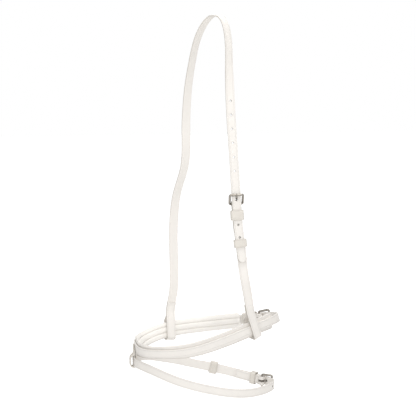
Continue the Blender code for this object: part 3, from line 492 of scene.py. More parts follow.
def crown_rows(line):
    """Leaves one flat facet on the crown between its two ends."""
    s, out = line["flat"].T
    near = np.flatnonzero((np.abs(s - CROWN_S) < CROWN_FLAT + 2.0 * MM) & (np.abs(out) < 1e-6))
    first, after = near[0], near[0] + len(near)
    ends = []
    for s0 in (CROWN_S - CROWN_FLAT, CROWN_S + CROWN_FLAT):
        p, t, w, _ = SLIP.at(s0)
        run = np.interp([s0], s[first - 3:after + 3], line["run"][first - 3:after + 3])
        ends.append({"p": p, "t": t, "w": w, "n": np.cross(w, t), "flat": np.array([[s0, 0.0]]), "run": run})
    return {k: np.concatenate([v[:first], ends[0][k], ends[1][k], v[after:]]) for k, v in line.items()}


def loop_strap(route, bar_s, chape_end, overlap):
    """One strap from its chape right round the loop to the tip of its billet."""
    far = bar_s + route.length
    flat = chape(chape_end, bar_s)
    flat += [(bar_s + 40.0 * MM, 0.0), (far - RISE_END - BILLET_RISE, 0.0, BLEND_R),
             (far - RISE_END, LAYER, 40.0 * MM), (far + overlap, LAYER)]
    return add_tip_rows(lay(route, rounded(flat)))


def loop_start(route, x, y, z):
    """Where a loop's buckle bar is, as a distance from which the strap runs forward."""
    bar_s = route.nearest(place_of(x, y, z))
    return bar_s - (route.length if bar_s > route.length / 2 else 0.0)


NOSE_START = loop_start(NOSE, 76.0, 39.0, -447.3)
LOWER_START = loop_start(LOWER, 75.2, 21.5, -538.9)


def swell(s):
    """How much wider than the other straps the noseband strap is over the nose."""
    u = np.clip((WIDE_TO - np.abs(s - NOSE_FRONT)) / (WIDE_TO - WIDE_FROM), 0.0, 1.0)
    return (NOSE_W - STRAP_W) * u * u * (3.0 - 2.0 * u)


# Meshes. Each point of a leather mesh carries these tags, for the steps below and for its material.

TAGS = ("edge", "under", "groove", "along", "across", "hole")
CUT, _, GROOVE, ALONG, ACROSS, HOLE = range(len(TAGS))


def write_tags(mesh, tags):
    for k, name in enumerate(TAGS):
        layer = mesh.attributes.get(name) or mesh.attributes.new(name, "FLOAT", "POINT")
        layer.data.foreach_set("value", np.ascontiguousarray(tags[:, k], np.float32))


def read_tags(mesh):
    out = np.zeros((len(TAGS), len(mesh.vertices)), np.float32)
    for name, values in zip(TAGS, out):
        mesh.attributes[name].data.foreach_get("value", values)
    return out.T.copy()


def section(half_w, half_t, edge=CUT_R, groove_in=STITCH_IN, groove=CREASE, crown=CROWNED):
    """Ring round a strap's cut: across, out, share of cut edge, share of underside, share of painted groove
    shade.
    """
    g = half_w - groove_in
    lip = min(0.45 * MM, 0.35 * g)
    edge = min(edge, 0.8 * half_t)
    top = [(0.0, crown, 0.0), (0.55 * g, 0.8 * crown, 0.0), (g - lip, 0.3 * crown, 0.15), (g, -groove, 1.0),
           (g + lip, 0.2 * crown, 0.15)]
    half = [(across, half_t + rise, 0.0, 0.0, deep) for across, rise, deep in top]
    for start, mid, under in ((90.0, half_t - edge, 0.0), (0.0, edge - half_t, 1.0)):
        for k in range(5):
            f = math.radians(start - 22.5 * k)
            half.append((half_w - edge + edge * math.cos(f), mid + edge * math.sin(f),
                         abs(under - (k / 4.0) ** 1.5), under * k / 4.0, 0.0))
    half += [(0.5 * half_w, -half_t, 0.0, 1.0, 0.0), (0.0, -half_t, 0.0, 1.0, 0.0)]
    left = [(-a, *rest) for a, *rest in reversed(half[1:-1])]
    return np.array(half + left, float)


def ring_faces(rows, sides, base=0, closed=False):
    """Faces over equal rings of points, capped at both ends unless the rings close on themselves."""
    faces = []
    for i in range(rows if closed else rows - 1):
        here, there = base + i * sides, base + (i + 1) % rows * sides
        for k in range(sides):
            m = (k + 1) % sides
            faces.append((here + k, here + m, there + m, there + k))
    if not closed:
        faces.append(tuple(range(base + sides - 1, base - 1, -1)))
        faces.append(tuple(range(base + (rows - 1) * sides, base + rows * sides)))
    return faces


def skin(name, rings, tags=None, closed=False):
    """A mesh over equal rings of points, its faces turned outwards."""
    rows, sides = rings.shape[:2]
    mesh = bpy.data.meshes.new(name)
    mesh.from_pydata([tuple(v) for v in rings.reshape(-1, 3)], [], ring_faces(rows, sides, closed=closed))
    mesh.calc_loop_triangles()
    volume = 0.0
    for triangle in mesh.loop_triangles:
        a, b, c = (mesh.vertices[i].co for i in triangle.vertices)
        volume += a.dot(b.cross(c))
    if volume < 0:
        mesh.flip_normals()
    if tags is not None:
        write_tags(mesh, tags.reshape(-1, len(TAGS)))
    return mesh


def solid_mesh(name, verts, faces):
    """A mesh of separate closed forms, their faces turned outwards."""
    mesh = bpy.data.meshes.new(name)
    mesh.from_pydata(verts, [], faces)
    work = bmesh.new()
    work.from_mesh(mesh)
    bmesh.ops.recalc_face_normals(work, faces=work.faces)
    work.to_mesh(mesh)
    work.free()
    return mesh


def put(name, data):
    obj = bpy.data.objects.new(name, data)
    bpy.context.scene.collection.objects.link(obj)
    return obj


def strap(name, line, width, thick, **shape):
    """A strap with round edges, creased faces and eased ends, laid along a line."""
    last = len(line["p"]) - 1
    width, thick = np.broadcast_to(width, last + 1), np.broadcast_to(thick, last + 1)
    turns = [math.radians(degrees) for degrees in (0, 30, 60, 85)]
    eased = [(END_R * (1.0 - math.cos(f)), END_R * (math.sin(f) - 1.0)) for f in turns]
    rows = [(0, inset, -push) for inset, push in reversed(eased)]
    rows += [(i, 0.0, 0.0) for i in range(1, last)]
    rows += [(last, inset, push) for inset, push in eased]
    rings, tags = [], []
    for i, inset, push in rows:
        prof = section(width[i] / 2 - inset, thick[i] / 2 - inset, **shape)
        p = line["p"][i] + push * line["t"][i]
        rings.append(p + prof[:, :1] * line["w"][i] + prof[:, 1:2] * line["n"][i])
        row = np.zeros((len(prof), len(TAGS)))
        row[:, :ALONG] = prof[:, 2:]
        row[:, CUT] = np.maximum(row[:, CUT], min(1.0, inset / END_R * 1.5))
        row[:, ALONG] = line["run"][i] + push
        row[:, ACROSS] = prof[:, 0]
        tags.append(row)
    return skin(name, np.array(rings), np.array(tags))


def circle(centre, radius, side, other, sides):
    """Points round a circle, from side towards other."""
    turns = [2 * math.pi * k / sides for k in range(sides)]
    return [centre + radius * (math.cos(f) * side + math.sin(f) * other) for f in turns]


def hole_rings(centre, axis, radius, half):
    """Points of the tool that cuts a round hole and eases its two rims."""
    side = unit(np.cross(axis, [0.31, 0.52, 0.79]))
    other = np.cross(axis, side)
    wide = radius + HOLE_EASE
    points = []
    for z, r in ((-3, wide), (-1, wide), (-0.85, radius), (0.85, radius), (1, wide), (3, wide)):
        points += circle(centre + z * half * axis, r, side, other, HOLE_SIDES)
    return points


def punched(mesh, holes, boxes=()):
    """Cuts eased round holes (place, direction, radius, depth) and square slots through a strap."""
    keep = read_tags(mesh)
    tree = KDTree(len(mesh.vertices))
    for i, v in enumerate(mesh.vertices):
        tree.insert(v.co, i)
    tree.balance()
    verts, faces = [], []
    for hole in holes:
        points = hole_rings(*hole)
        faces += ring_faces(len(points) // HOLE_SIDES, HOLE_SIDES, base=len(verts))
        verts += points
    tools = [put("tool", solid_mesh("tool", verts, faces))] if verts else []
    ends = (-0.5, 0.5)
    signs = [(i, j, k) for i in ends for j in ends for k in ends]
    quads = [(0, 1, 3, 2), (4, 6, 7, 5), (0, 4, 5, 1), (2, 3, 7, 6), (0, 2, 6, 4), (1, 5, 7, 3)]
    for centre, (ax, ay, az), (x, y, z) in boxes:
        corners = [centre + i * x * ax + j * y * ay + k * z * az for i, j, k in signs]
        tools.append(put("tool", solid_mesh("tool", corners, quads)))
    obj = put("work", mesh)
    for tool in tools:
        mod = obj.modifiers.new("cut", "BOOLEAN")
        mod.operation = "DIFFERENCE"
        mod.solver = "EXACT"
        mod.object = tool
    bpy.context.view_layer.update()
    out = bpy.data.meshes.new_from_object(obj.evaluated_get(bpy.context.evaluated_depsgraph_get()))
    for thing in (obj, *tools):
        bpy.data.objects.remove(thing, do_unlink=True)
    tags = np.zeros((len(out.vertices), len(TAGS)))
    for i, v in enumerate(out.vertices):
        _, k, far = tree.find(v.co)
        tags[i] = keep[k]
        if far < 1e-6:
            continue
        # Faces the tools cut get painted shade: part of the groove tag, and the hole tag on round holes'
        # walls.
        tags[i, GROOVE] = max(tags[i, GROOVE], 0.6)
        for centre, axis, radius, _ in holes:
            away = np.array(v.co) - centre
            if np.linalg.norm(away - (away @ axis) * axis) < radius + 0.05 * MM:
                tags[i, HOLE] = 1.0
    write_tags(out, tags)
    return out


def scale_edge_shade(mesh, upper, lower):
    """Makes the cut colour, partly edge tone and partly painted shade, weaker or stronger on a strap's upper
    and lower edges.
    """
    tags = read_tags(mesh)
    tags[:, CUT] *= np.where(tags[:, ACROSS] > 0.0, upper, lower)
    write_tags(mesh, tags)
    return mesh


def paint_shade(mesh, rim, share):
    """Paints shade on the points of a mesh that rim(along, across) picks out, in the cut edge's colour."""
    tags = read_tags(mesh)
    where = rim(tags[:, ALONG], tags[:, ACROSS])
    tags[where, CUT] = np.maximum(tags[where, CUT], share)
    write_tags(mesh, tags)
    return mesh


def show(name, mesh, body, look, nodes=(), smooth=38.0):
    """Puts a finished mesh on its body, with its material, in place of the CAD nodes named."""
    material, slot = look
    mesh.materials.clear()
    mesh.materials.append(material)
    mesh.shade_smooth()
    mesh.set_sharp_from_angle(angle=math.radians(smooth))
    obj = put(name, mesh)
    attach(obj, body)
    if nodes:
        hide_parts(*nodes)
    return obj


def tube(name, points, radii, sides, closed=False):
    """A smooth round wire through points that lie in one plane."""
    points = np.asarray(points, float)
    radii = np.broadcast_to(radii, len(points))
    if closed:
        ahead = unit(np.roll(points, -1, axis=0) - np.roll(points, 1, axis=0))
    else:
        ahead = unit(np.gradient(points, axis=0))
    normal = np.linalg.svd(points - points.mean(axis=0))[2][2]
    rings = []
    for p, t, r in zip(points, ahead, radii):
        flat = unit(np.cross(t, normal))
        rings.append(circle(p, r, flat, np.cross(flat, t), sides))
    return skin(name, np.array(rings), closed=closed)


def leather_ring(name, centre, along, across, outward, half_n, length):
    """A keeper: a creased leather strip turned into a ring, and bowed a little on its outside."""
    half_w, r = STRAP_W / 2 + KEEPER_SIDE, KEEPER_T / 2
    corners = [(i * (half_w + r), j * (half_n + r), KEEPER_R)
               for i, j in ((1, 1), (-1, 1), (-1, -1), (1, -1))]
    flat = closed_line(corners, 11.0, 1.2 * MM)
    step = unit(np.roll(flat, -1, axis=0) - np.roll(flat, 1, axis=0))
    prof = section(length / 2, r, edge=0.4 * MM, groove_in=1.3 * MM, groove=0.1 * MM, crown=0.05 * MM)
    rings = []
    for (a, b), (da, db) in zip(flat, step):
        lift = KEEPER_BOW * max(0.0, 1.0 - (a / half_w) ** 2) * (b > 0)
        p = centre + a * across + (b + lift) * outward
        normal = -db * across + da * outward
        sign = 1.0 if normal @ (p - centre) > 0 else -1.0
        rings.append(p + prof[:, :1] * along + sign * prof[:, 1:2] * normal)
    tags = np.zeros((len(flat), len(prof), len(TAGS)))
    tags[:, :, :ALONG] = prof[:, 2:]
    return skin(name, np.array(rings), tags, closed=True)


def add_seam(verts, faces, places):
    """Adds single stitches along a line of (place, outward) pairs."""
    p, n = (np.array(rows, float) for rows in zip(*places))
    n = unit(n)
    run = distances(p)
    count = max(1, int(round(run[-1] / STITCH)))
    rings = ((-0.5, 0.45), (-0.36, 0.92), (0.0, 1.0), (0.36, 0.92), (0.5, 0.45))
    for i in range(count):
        s = (i + 0.5) * run[-1] / count
        middle, out = read_at(s, run, p), unit(read_at(s, run, n))
        t = square(unit(read_at(s + THREAD_R, run, p) - read_at(s - THREAD_R, run, p)), out)
        t, side = turned(t, np.cross(out, t), -STITCH_SLANT)
        faces += ring_faces(len(rings), STITCH_SIDES, base=len(verts))
        for x, thick in rings:
            c = middle + x * STITCH_SHARE * STITCH * t - (2.0 * x) ** 4 * 0.9 * THREAD_R * out
            verts += circle(c, thick * THREAD_R, side, out, STITCH_SIDES)


def stitched(name, seams, body, nodes=()):
    """One piece of thread work made of several seams."""
    verts, faces = [], []
    for places in seams:
        add_seam(verts, faces, places)
    show(name, solid_mesh(name, verts, faces), body, THREAD, nodes, smooth=60.0)


def on_face(route, s, out, aside):
    """A place on a strap's face or back, and the direction away from the strap."""
    p, _, w, n = route.here(s)
    return p + out * n + aside * w, n if out > 0 else -n


def along_route(route, s0, s1, out, across):
    """Places of a seam between two distances along a route."""
    run = np.linspace(s0, s1, max(2, int(abs(s1 - s0) / LONG_STEP)))
    return [on_face(route, s, out, across(s) if callable(across) else across) for s in run]


def across_route(route, s, out, half):
    """Places of a seam across a strap."""
    return [on_face(route, s, out, a) for a in np.linspace(-half, half, 7)]


# Materials.

def feed(tree, node, values):
    """Gives a node's inputs their values: outputs of other nodes, numbers or colours."""
    for key, value in values.items():
        if hasattr(value, "is_output"):
            tree.links.new(value, node.inputs[key])
        else:
            node.inputs[key].default_value = (*value, 1.0) if hasattr(value, "__len__") else value


def add(tree, kind, values=None, **settings):
    """A new node with its settings and the values of its inputs."""
    node = tree.nodes.new("ShaderNode" + kind)
    for key, value in settings.items():
        setattr(node, key, value)
    feed(tree, node, values or {})
    return node


def look_of(name):
    mat = bpy.data.materials.new(name)
    mat.use_nodes = True
    return mat, mat.node_tree, mat.node_tree.nodes["Principled BSDF"]


def tag(tree, name):
    return add(tree, "Attribute", attribute_name=name).outputs["Fac"]


def ramp(tree, source, stops):
    """Maps a number to grey levels or colours."""
    node = add(tree, "ValToRGB", {"Fac": source})
    while len(node.color_ramp.elements) < len(stops):
        node.color_ramp.elements.new(0.5)
    for element, (place, colour) in zip(node.color_ramp.elements, stops):
        element.position = place
        element.color = (*colour, 1.0) if hasattr(colour, "__len__") else (colour, colour, colour, 1.0)
    return node.outputs["Color"]


def mix(tree, share, a, b, mode="MIX"):
    return add(tree, "Mix", {0: share, 6: a, 7: b}, data_type="RGBA", blend_type=mode).outputs[2]


def math_node(tree, op, *values, clamp=False):
    return add(tree, "Math", dict(enumerate(values)), operation=op, use_clamp=clamp).outputs[0]


def texture(tree, kind, scale, detail=3.0, rough=0.5):
    """A texture laid over a piece in its own coordinates."""
    place = add(tree, "TexCoord").outputs["Object"]
    return add(tree, kind, {"Vector": place, "Scale": scale, "Detail": detail, "Roughness": rough}).outputs


def noise(tree, scale, detail, rough):
    return texture(tree, "TexNoise", scale, detail, rough)["Fac"]


def bump(tree, shader, parts):
    """Adds height parts (height, strength, distance) one on another."""
    below = {}
    for height, strength, distance in parts:
        values = {"Height": height, "Strength": strength, "Distance": distance, **below}
        below = {"Normal": add(tree, "Bump", values).outputs["Normal"]}
    feed(tree, shader, below)


def scaled(colour, share):
    return tuple(min(1.0, c * share) for c in colour)


def leather(name, face, flesh, cut, rough, grain, sheen=0.0, crease_shade=0.9):
    """White leather: fine grain, a matt flesh side, painted shade in creases and holes, and a cut edge partly
    greyer in tone, partly painted shade.
    """
    mat, tree, shader = look_of(name)
    cloud = noise(tree, 38.0, 4.0, 0.6)
    fine = noise(tree, 900.0, 3.0, 0.55)
    pores = texture(tree, "TexVoronoi", grain)["Distance"]
    wave = noise(tree, 120.0, 2.0, 0.5)
    under, edge = tag(tree, "under"), tag(tree, "edge")

    tint = ramp(tree, cloud, [(0.3, scaled(face, 0.962)), (0.55, face), (0.8, scaled(face, 1.02))])
    speck = ramp(tree, fine, [(0.25, 0.955), (0.5, 1.0), (1.0, 1.0)])
    tint = mix(tree, 1.0, tint, speck, "MULTIPLY")
    # Painted shade: faces darken where the groove tag marks creases, sewn grooves and cut walls.
    tint = mix(tree, math_node(tree, "MULTIPLY", tag(tree, "groove"), crease_shade), tint, scaled(face, 0.80))
    tint = mix(tree, under, tint, flesh)
    # The cut colour is partly the raw edge's own greyer tone and partly painted shade.
    edge_share = math_node(tree, "MULTIPLY", edge, ramp(tree, cloud, [(0.2, 0.72), (0.75, 1.0)]), clamp=True)
    tint = mix(tree, edge_share, tint, cut)
    # Painted shade: punched hole walls are near black, for the shade inside the holes.
    tint = mix(tree, tag(tree, "hole"), tint, (0.10, 0.085, 0.07))

    gloss = ramp(tree, cloud, [(0.25, rough - 0.06), (0.8, rough + 0.07)])
    gloss = mix(tree, under, gloss, (0.82, 0.82, 0.82))
    gloss = mix(tree, edge, gloss, (0.62, 0.62, 0.62))
    feed(tree, shader, {"Base Color": tint, "Roughness": gloss, "Specular IOR Level": 0.35,
                        "Sheen Weight": sheen, "Sheen Roughness": 0.5})
    bump(tree, shader, [(pores, 0.22, 0.00012), (fine, 0.18, 0.0001), (wave, 0.25, 0.0006)])
    return mat


def waxed_thread():
    """Pale thread, partly its own tone and partly painted shade: darker than the leather, darkest between its
    twisted strands.
    """
    mat, tree, shader = look_of("waxed_thread")
    place = add(tree, "TexCoord").outputs["Object"]
    twist = add(tree, "TexWave", {"Vector": place, "Scale": 1900.0, "Distortion": 1.5},
                wave_type="BANDS", bands_direction="DIAGONAL").outputs["Fac"]
    tint = ramp(tree, twist, [(0.0, (0.58, 0.56, 0.52)), (0.6, (0.80, 0.785, 0.75))])
    feed(tree, shader, {"Base Color": tint, "Roughness": 0.6})
    bump(tree, shader, [(twist, 0.4, 0.0001)])
    return mat


def bright_steel():
    """Polished wire with fine scratches and a faint cloudiness, its base colour darkened as painted
    reflection of dark surroundings.
    """
    mat, tree, shader = look_of("bright_steel")
    cloud = noise(tree, 160.0, 4.0, 0.6)
    scratch = noise(tree, 2200.0, 2.0, 0.6)
    # Painted reflection: a base colour far darker than steel's own, for reflections of dark surroundings.
    tint = ramp(tree, cloud, [(0.3, (0.19, 0.172, 0.148)), (0.7, (0.32, 0.30, 0.27))])
    gloss = ramp(tree, scratch, [(0.3, 0.15), (0.75, 0.27)])
    feed(tree, shader, {"Base Color": tint, "Roughness": gloss, "Metallic": 1.0})
    bump(tree, shader, [(scratch, 0.06, 0.00005), (cloud, 0.08, 0.0004)])
    return mat


# Each look is a material and the record's slot that it stands for.
# Cut colours are partly the raw edges' own tone and partly painted shade.
LEATHER = (leather("strap_leather", (0.85, 0.815, 0.77), (0.865, 0.83, 0.785), (0.45, 0.415, 0.365),
                   0.46, 1500.0), "strap_leather")
# The keepers' and flash loop's leather is the strap's white leather darkened as painted shade.
SHADED_KEEPER_LEATHER = (leather("keeper_leather", (0.72, 0.68, 0.62), (0.69, 0.645, 0.585), (0.40, 0.365, 0.32),
                          0.44, 1600.0, crease_shade=0.55), "keeper_leather")
LINING = (leather("lining_leather", (0.90, 0.87, 0.825), (0.83, 0.80, 0.76), (0.66, 0.62, 0.57),
                  0.6, 1100.0, sheen=0.08, crease_shade=0.25), "lining_leather")
THREAD = (waxed_thread(), "thread")
STEEL = (bright_steel(), "buckle_metal")


# Buckles.

def buckle_geometry(route, bar_s, base):
    """Where a buckle's bar, front, tongue, hole and slot lie, on a strap at the height base."""
    low = base - WRAP_R
    high = base + LAYER + STRAP_T / 2 + GAP + WIRE_R
    reach = math.sqrt(FRAME_L ** 2 - (high - low) ** 2)
    p, t, across, n = route.here(bar_s)
    bar = p + low * n
    p, _, _, front_n = route.here(bar_s - reach)
    front = p + high * front_n
    ahead = square(front - bar, across)
    out = square(n, across)
    along = np.cross(across, out)
    along = along if along @ t > 0 else -along

    coil_r = WIRE_R + RING_CLEAR + TONGUE_R
    leave = math.radians(180.0) + (math.pi / 2 - PRONG_ANGLE)
    turns = leave + COIL_TURN * (1.0 - np.arange(COIL_STEPS + 1) / COIL_STEPS)
    coil = [(coil_r * math.cos(a), coil_r * math.sin(a)) for a in turns]
    da, db = math.sin(leave), -math.cos(leave)
    a0, b0 = coil[-1]
    rest_a = float((front - bar) @ along)
    rest_b = float((front - bar) @ out) + WIRE_R + TONGUE_R + PRONG_REST
    knee = (a0 + da * ((rest_b - b0) / db), rest_b, 3.0 * MM)
    tail = rounded([coil[-1], knee, (rest_a - 1.2 * MM, rest_b)], arc=8.0)
    flat = coil + fill_line(tail, PRONG_STEP)[1:]

    hole_b = base + LAYER - low
    hole_a = a0 + da * ((hole_b - b0) / db)
    spot = bar + hole_a * along + hole_b * out
    aim = unit(da * along + db * out)
    hole = (spot, aim, TONGUE_R + PRONG_CLEAR, STRAP_T / 2)
    slot_b = (base - 2 * WRAP_R - STRAP_T, base + STRAP_T / 2 + GAP / 2)
    slot_a = (-WRAP_R - STRAP_T, PRONG_SLOT)
    middle = bar + sum(slot_a) / 2 * along + (sum(slot_b) / 2 - low) * out
    size = (2 * (TONGUE_R + PRONG_CLEAR + SLOT_SIDE), slot_a[1] - slot_a[0], slot_b[1] - slot_b[0])
    return {"bar": bar, "across": across, "ahead": ahead, "length": float((front - bar) @ ahead),
            "prong": [bar + a * along + b * out for a, b in flat], "hole_s": hole_a, "hole": hole,
            "worn": (spot - HOLE_WORN * ahead, *hole[1:]), "slot": (middle, (across, along, out), size)}


def show_wire(prefix, kind, points, radii, sides, closed=False):
    body = prefix + "_" + kind
    mesh = tube(body + "_wire", points, radii, sides, closed)
    show(body + "_wire", mesh, body, STEEL, [prefix + "_buckle_" + kind], smooth=70.0)


def show_buckle(prefix, hold):
    """A buckle's frame, and its tongue, whose last points taper."""
    half, length = STRAP_W / 2 + FRAME_SIDE + WIRE_R, hold["length"]
    flat = closed_line([(half, 0.0, 2.0 * MM), (half, length, 2.2 * MM), (-half, length, 2.2 * MM),
                        (-half, 0.0, 2.0 * MM)], 6.0, LONG_STEP)
    points = [hold["bar"] + a * hold["across"] + b * hold["ahead"] for a, b in flat]
    show_wire(prefix, "frame", points, WIRE_R, 20, closed=True)
    count = len(hold["prong"])
    taper = np.interp(np.arange(count), [0, count - 8, count - 3, count - 1], [1.0, 1.0, 0.86, 0.5])
    show_wire(prefix, "tongue", hold["prong"], taper * TONGUE_R, 16)


def billet_hole(route, s, rise=0.0):
    p, _, _, n = route.here(s)
    return (p + rise * n, n, HOLE_R, STRAP_T / 2)


def punch_billet(mesh, hold, holes):
    """Cuts the tongue's own hole, the holes beside it, and where the lifted tongue has worn its side."""
    return punched(punched(mesh, [hold["hole"], *holes]), [hold["worn"]])


def show_keeper(name, node, route, s, layers, top, length, body):
    """A leather ring round some layers of strap; returns the two seams at its back."""
    p, t, w, n = route.here(s)
    centre = p + (top - (layers - 1) * LAYER / 2) * n
    half_n = ((layers - 1) * LAYER + STRAP_T) / 2 + KEEPER_CLEAR
    show(name, leather_ring(name, centre, t, w, n, half_n, length), body, SHADED_KEEPER_LEATHER, [node])
    back = -(half_n + KEEPER_T)
    return [[(centre + a * w + x * t + back * n, -n) for x in np.linspace(-0.36 * length, 0.36 * length, 5)]
            for a in (-2.2 * MM, 2.2 * MM)]


def show_keepers(prefix, route, bar_s, keeper, runner_at, top, body):
    """A sewn keeper over three layers and a runner over two; returns the keeper's seams."""
    at, length = keeper
    seams = show_keeper(prefix + "_keeper_leather", prefix + "_fixed_keeper", route, bar_s + at, 3, top,
                        length, body)
    slides = show_keeper(prefix + "_runner_leather", prefix + "_runner", route, bar_s + runner_at, 2, top,
                         RUNNER_L, prefix + "_slider")
    stitched(prefix + "_runner_thread", slides, prefix + "_slider")
    return seams


def chape_seams(route, bar_s, first, keeper, end, out):
    """Seams along both sides of a chape, before and after its keeper, and one across its end."""
    at, length = keeper
    runs = ((first, at - length / 2 - SEAM_FREE), (at + length / 2 + SEAM_FREE, end - 1.5 * MM))
    seams = [along_route(route, bar_s + a, bar_s + b, out, w)
             for w in (-SIDE_SEAM, SIDE_SEAM) for a, b in runs]
    return [*seams, across_route(route, bar_s + end - CROSS_AT, out, SIDE_SEAM - CROSS_IN)]


# The sliphead.

def build_sliphead():
    off_at, near_at = TAIL, SLIP.length - TAIL
    keeper = (CROWN_KEEPER_AT, CROWN_KEEPER_L)
    flat = cheek_loop(off_at, 1.0, False)
    flat += [(off_at + 30.0 * MM, 0.0), (CROWN_S - CROWN_FLAT, 0.0), (CROWN_S + CROWN_FLAT, 0.0),
             (BAR_S + CROWN_BILLET, 0.0)]
    line = add_tip_rows(crown_rows(lay(SLIP, rounded(flat))))
    length = line["run"][-1]
    mesh = strap("crown_leather", line, tip_width(line["run"], length), STRAP_T)

    # Painted shade on the raw edge, scaled by worn: paler over the crown and darkest from 190 mm before the
    # tip.
    worn = np.interp(read_tags(mesh)[:, ALONG], [length - 300.0 * MM, length - 190.0 * MM], [0.45, 1.3])
    scale_edge_shade(mesh, worn, worn)

    # Painted shadow: a dark rim round the billet's rounded tip, where it lies on the strap beneath.
    def tip_shadow_rim(s, x):
        return (s > length - TIP_LONG) & (np.abs(x) > tip_width(s, length) / 2 - 0.6 * MM)

    paint_shade(mesh, tip_shadow_rim, 0.75)
    hold = buckle_geometry(SLIP, BAR_S, -LAYER)
    first_hole = BAR_S + hold["hole_s"]
    holes = [billet_hole(SLIP, first_hole + k * HOLE_PITCH) for k in (-7, -6, -5, -4, -3, -2)]
    holes += [billet_hole(SLIP, first_hole + k * LOW_PITCH) for k in (1, 2, 3)]
    show("crown_leather", punch_billet(mesh, hold, holes), "sliphead", LEATHER, ["crown_strap"])

    flat = chape(CROWN_CHAPE, BAR_S, -LAYER)
    flat += [(BAR_S + CROWN_BILLET + 6.0 * MM, -LAYER, BLEND_R),
             (BAR_S + CROWN_BILLET + 26.0 * MM, 0.0, BLEND_R), *reversed(cheek_loop(near_at, -1.0, True))]
    mesh = strap("near_cheek_leather", lay(SLIP, rounded(flat)), STRAP_W, STRAP_T)
    show("near_cheek_leather", punched(mesh, [], [hold["slot"]]), "sliphead", LEATHER, ["near_cheek_strap"])
    show_buckle("crown", hold)
    seams = show_keepers("crown", SLIP, BAR_S, keeper, CROWN_RUNNER_AT, 0.0, "sliphead")

    first, last = DROP + 11.5 * MM, TURN_END - CROSS_AT
    for at, way in ((off_at, 1.0), (near_at, -1.0)):
        for out in (STRAP_T / 2, -STRAP_T / 2 - LAYER):
            for w in (-SIDE_SEAM, SIDE_SEAM):
                seams.append(along_route(SLIP, at + way * first, at + way * last, out, w))
            seams.append(across_route(SLIP, at + way * last, out, SIDE_SEAM - CROSS_IN))
    seams += chape_seams(SLIP, BAR_S, 7.5 * MM, keeper, CROWN_CHAPE, -2 * LAYER - STRAP_T / 2)
    stitched("sliphead_thread", seams, "sliphead")


# The noseband.

def build_loop(prefix, route, bar_s, ends, keeper, runner_at, holes, edges, wider=None, **shape):
    """A closed strap with its holes, buckle, keeper and runner; returns the keeper's seams."""
    line = loop_strap(route, bar_s, *ends)
    widths = tip_width(line["run"], line["run"][-1])
    if wider:
        widths = widths + wider(line["flat"][:, 0])
    hold = buckle_geometry(route, bar_s, 0.0)
    # The edges pair scales the cut colour's painted shade: light on the upper edge, darker on the lower.
    mesh = scale_edge_shade(strap(prefix + "_leather", line, widths, STRAP_T, **shape), *edges)
    cuts = []
    for k in holes:
        s = hold["hole_s"] + k * HOLE_PITCH
        rise = np.interp(-s, [RISE_END, RISE_END + BILLET_RISE], [LAYER, 0.0])
        cuts.append(billet_hole(route, bar_s + s, rise))
    mesh = punch_billet(punched(mesh, [], [hold["slot"]]), hold, cuts)
    show(prefix + "_leather", mesh, prefix, LEATHER, [prefix + "_strap"])
    show_buckle(prefix, hold)
    return show_keepers(prefix, route, bar_s, keeper, runner_at, LAYER, prefix)


# The lining's section: its sewn groove, how far out its roll stands, and how far its seam.
GROOVE_AT = 1.02 * ROLL_HALF
ROLL = 0.8 * ROLL_OUT
SEAM_OUT = 0.25 * ROLL


def build_noseband():
    keeper = (NOSE_KEEPER_AT, NOSE_KEEPER_L)
    seams = build_loop("noseband", NOSE, NOSE_START, (NOSE_CHAPE, NOSE_BILLET), keeper, NOSE_RUNNER_AT,
                       (-2, -1), (0.1, 0.7), swell, groove=0.16 * MM)
    last = PAD_END - SEAM_IN
    for row, sign in (("upper", 1.0), ("lower", -1.0)):
        places = along_route(NOSE, NOSE_START + NOSE_BILLET + SEAM_IN, last, STRAP_T / 2 - SUNK,
                             lambda s: sign * ((STRAP_W + swell(s)) / 2 - STITCH_IN))
        stitched("noseband_" + row + "_thread", [places], "noseband", ["noseband_" + row + "_stitching"])
    back = -(PANEL_BACK + GAP + SEAM_OUT + LINING_T - SUNK)
    for w in (-GROOVE_AT, GROOVE_AT):
        seams.append(along_route(NOSE, NOSE_START + PAD_FROM + SEAM_IN, last, back, w))
    stitched("noseband_thread", seams, "noseband")


def lining_section(pucker):
    """Ring round the lining: a raised roll between two sewn grooves, with soft margins; height, inward, share
    of painted groove shade.
    """
    back = PANEL_BACK + GAP
    half = LINING_H / 2
    rows = []
    for k in range(9):
        f = k / 8.0
        rise = SEAM_OUT + (ROLL - SEAM_OUT) * math.sqrt(1.0 - (0.97 * f) ** 2.2)
        rows.append((f * 0.9 * GROOVE_AT, back + LINING_T + rise, 0.3 * (f > 0.9)))
    rows.append((GROOVE_AT, back + LINING_T + SEAM_OUT * (1.0 - 0.35 * pucker), 1.0))
    for k in range(10):
        f = k / 9.0
        height = 1.1 * GROOVE_AT + f * (half - 1.1 * GROOVE_AT - 0.1 * MM)
        swelling = math.sin(math.pi * (0.12 + 0.88 * f)) ** 0.6 if f < 1.0 else 0.0
        rise = MARGIN_OUT * (0.35 * (1.0 - f) + 0.75 * swelling)
        rows.append((height, back + LINING_T * (1.0 if f < 1.0 else 0.75) + rise, 0.3 * (k == 0)))
    rows += [(half, back + 0.45 * LINING_T, 0.0), (half - 0.1 * MM, back + 0.08 * MM, 0.0),
             (half - 0.8 * MM, back, 0.0), (0.4 * half, back, 0.0), (0.0, back, 0.0)]
    left = [(-a, *rest) for a, *rest in reversed(rows[1:-1])]
    return np.array(rows + left, float)


def end_share(s):
    """How far the base is drawn in at a place near one of its round ends."""
    near = np.clip(np.minimum(s - NOSE_START - PAD_FROM, PAD_END - s) / PAD_END_RUN, 0.0, 1.0)
    return 0.72 + 0.28 * np.sqrt(1.0 - (1.0 - near) ** 2)


